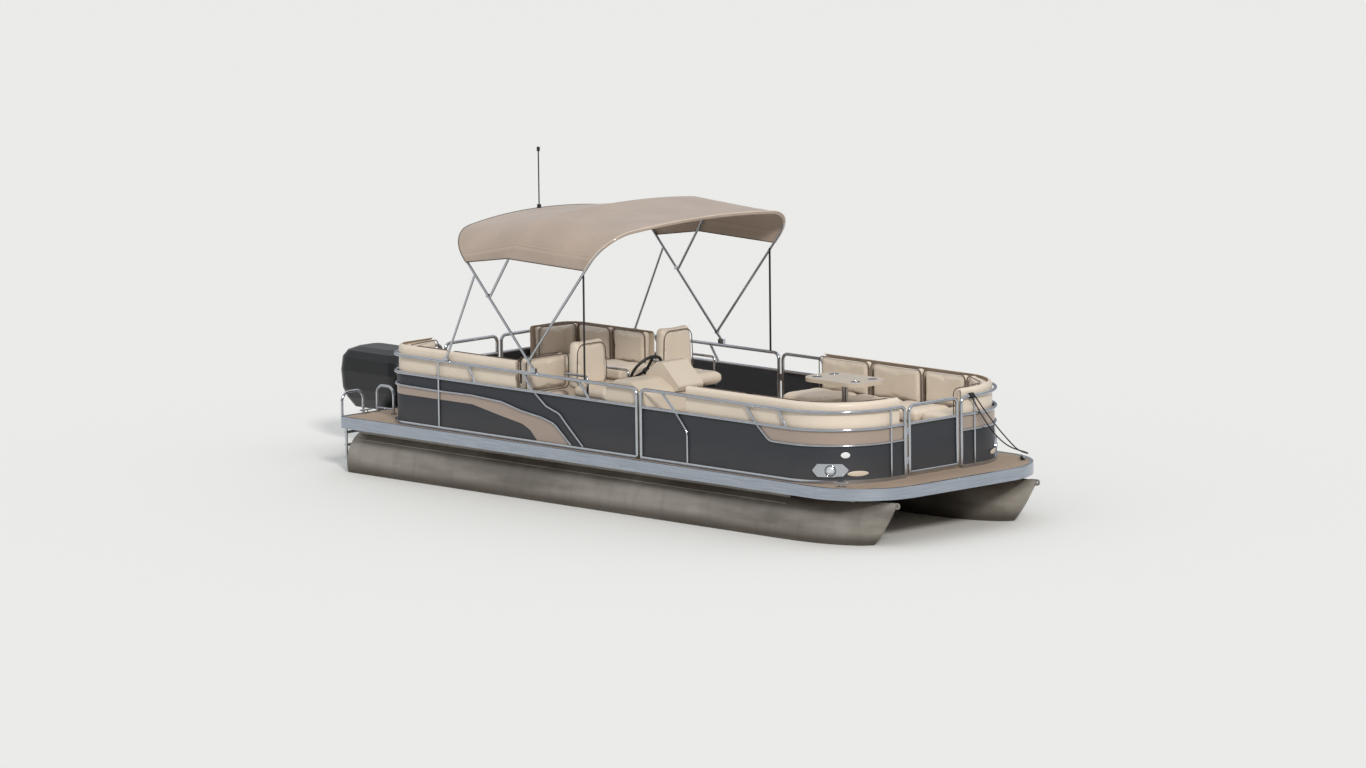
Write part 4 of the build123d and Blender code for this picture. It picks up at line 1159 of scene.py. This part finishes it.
class BOAT_OT_stage(bpy.types.Operator):
    """Floor at the waterline, soft light and the camera"""
    bl_idname = "boat.stage"
    bl_label = "Stage"

    def execute(self, context):
        deselect()
        bpy.ops.mesh.primitive_plane_add(size=700, location=(0, 0, 0))
        floor = named("stage_floor")
        material, shader = start_material("stage_paper")
        plug(material, shader, {"Base Color": linear("#e6e6e3"), "Roughness": 0.9})
        floor.data.materials.append(material)
        self.lights(context)
        self.camera(context)
        return {"FINISHED"}

    def lights(self, context):
        world = bpy.data.worlds.new("studio")
        world.use_nodes = True
        place = add(world, "ShaderNodeTexCoord")
        split = add(world, "ShaderNodeSeparateXYZ", {0: place.outputs["Generated"]})
        rise = add(world, "ShaderNodeMapRange",
                   {"Value": split.outputs[2], "From Min": 0.02, "From Max": 0.55},
                   interpolation_type="SMOOTHSTEP")
        sky = add(world, "ShaderNodeMix",
                  {0: rise.outputs[0], 6: linear("#7f8790"), 7: linear("#fbfcff")}, data_type="RGBA")
        plug(world, world.node_tree.nodes["Background"], {"Color": sky.outputs[2], "Strength": 0.85})
        context.scene.world = world
        key = bpy.data.lights.new("key", "SUN")
        key.energy = 1.9
        key.angle = math.radians(9)
        key.color = (1.0, 0.97, 0.92)
        lamp = bpy.data.objects.new("key", key)
        lamp.rotation_euler = Vector((1.0, -0.62, 0.66)).to_track_quat("Z", "Y").to_euler()
        context.collection.objects.link(lamp)

    def camera(self, context):
        turn = math.radians(CAMERA_TURN)
        rise = math.radians(CAMERA_RISE)
        roll = math.radians(CAMERA_ROLL)
        back = Vector((math.sin(turn) * math.cos(rise), -math.cos(turn) * math.cos(rise), math.sin(rise)))
        right = (-back).cross(Vector((0, 0, 1))).normalized()
        up = right.cross(-back)
        level = right * math.cos(roll) + up * math.sin(roll)
        top = up * math.cos(roll) - right * math.sin(roll)
        data = bpy.data.cameras.new("camera")
        data.lens = CAMERA_LENS
        data.sensor_width = 36.0
        data.shift_x, data.shift_y = CAMERA_SHIFT
        data.clip_end = 1000
        camera = bpy.data.objects.new("camera", data)
        matrix = Matrix((level, top, back)).transposed().to_4x4()
        matrix.translation = Vector(CAMERA_AIM) + back * CAMERA_REACH
        camera.matrix_world = matrix
        context.collection.objects.link(camera)
        context.scene.camera = camera
        context.scene.view_settings.view_transform = "Standard"


class BoatColours(bpy.types.PropertyGroup):
    """Colours that a user would change"""
    hull_pale: bpy.props.FloatVectorProperty(name="Hull, pale", description="Lighter tone of the floats",
                                             subtype="COLOR", default=linear("#a39d94")[:3])
    hull_dark: bpy.props.FloatVectorProperty(name="Hull, dark", description="Darker tone of the floats",
                                             subtype="COLOR", default=linear("#7d776f")[:3])
    rim: bpy.props.FloatVectorProperty(name="Rim", description="Deck edge extrusion",
                                       subtype="COLOR", default=linear("#c3cad4")[:3])
    panel: bpy.props.FloatVectorProperty(name="Panels", description="Fence panels",
                                         subtype="COLOR", default=linear("#313338")[:3])
    band: bpy.props.FloatVectorProperty(name="Bands", description="Accent bands on the fence",
                                        subtype="COLOR", default=linear("#a8978a")[:3])
    vinyl: bpy.props.FloatVectorProperty(name="Upholstery", description="Vinyl of the seats",
                                         subtype="COLOR", default=linear("#dccebc")[:3])
    piping: bpy.props.FloatVectorProperty(name="Piping", description="Welting of the seats",
                                          subtype="COLOR", default=linear("#5d4d43")[:3])
    moulding: bpy.props.FloatVectorProperty(name="Mouldings", description="Console and seat bases",
                                            subtype="COLOR", default=linear("#cfc1af")[:3])
    canvas: bpy.props.FloatVectorProperty(name="Canopy", description="Canvas of the canopy",
                                          subtype="COLOR", default=linear("#ab9a8c")[:3])
    hem: bpy.props.FloatVectorProperty(name="Hem", description="Tape at the canopy's edges",
                                       subtype="COLOR", default=linear("#cdbfae")[:3])
    floor: bpy.props.FloatVectorProperty(name="Deck", description="Deck covering",
                                         subtype="COLOR", default=linear("#b09c88")[:3])


OPERATORS = [
    BOAT_OT_finishes,
    BOAT_OT_stage,
    BOAT_OT_rope,
    BOAT_OT_lounges,
    BOAT_OT_chairs,
    BOAT_OT_canopy,
    BOAT_OT_lamps,
]


class BOAT_PT_panel(bpy.types.Panel):
    """Lists the boat's pieces and colours"""
    bl_label = "Pontoon boat"
    bl_space_type = "VIEW_3D"
    bl_region_type = "UI"
    bl_category = "Boat"

    def draw(self, context):
        for name in BoatColours.__annotations__:
            self.layout.prop(context.scene.boat_colours, name)
        for operator in OPERATORS:
            self.layout.operator(operator.bl_idname)


CLASSES = [BoatColours] + OPERATORS + [BOAT_PT_panel]


def register():
    for each in CLASSES:
        bpy.utils.register_class(each)
    bpy.types.Scene.boat_colours = bpy.props.PointerProperty(type=BoatColours)


def unregister():
    del bpy.types.Scene.boat_colours
    for each in reversed(CLASSES):
        bpy.utils.unregister_class(each)


def main():
    register()
    for operator in OPERATORS:
        group, name = operator.bl_idname.split(".")
        getattr(getattr(bpy.ops, group), name)()


if __name__ == "__main__":
    main()
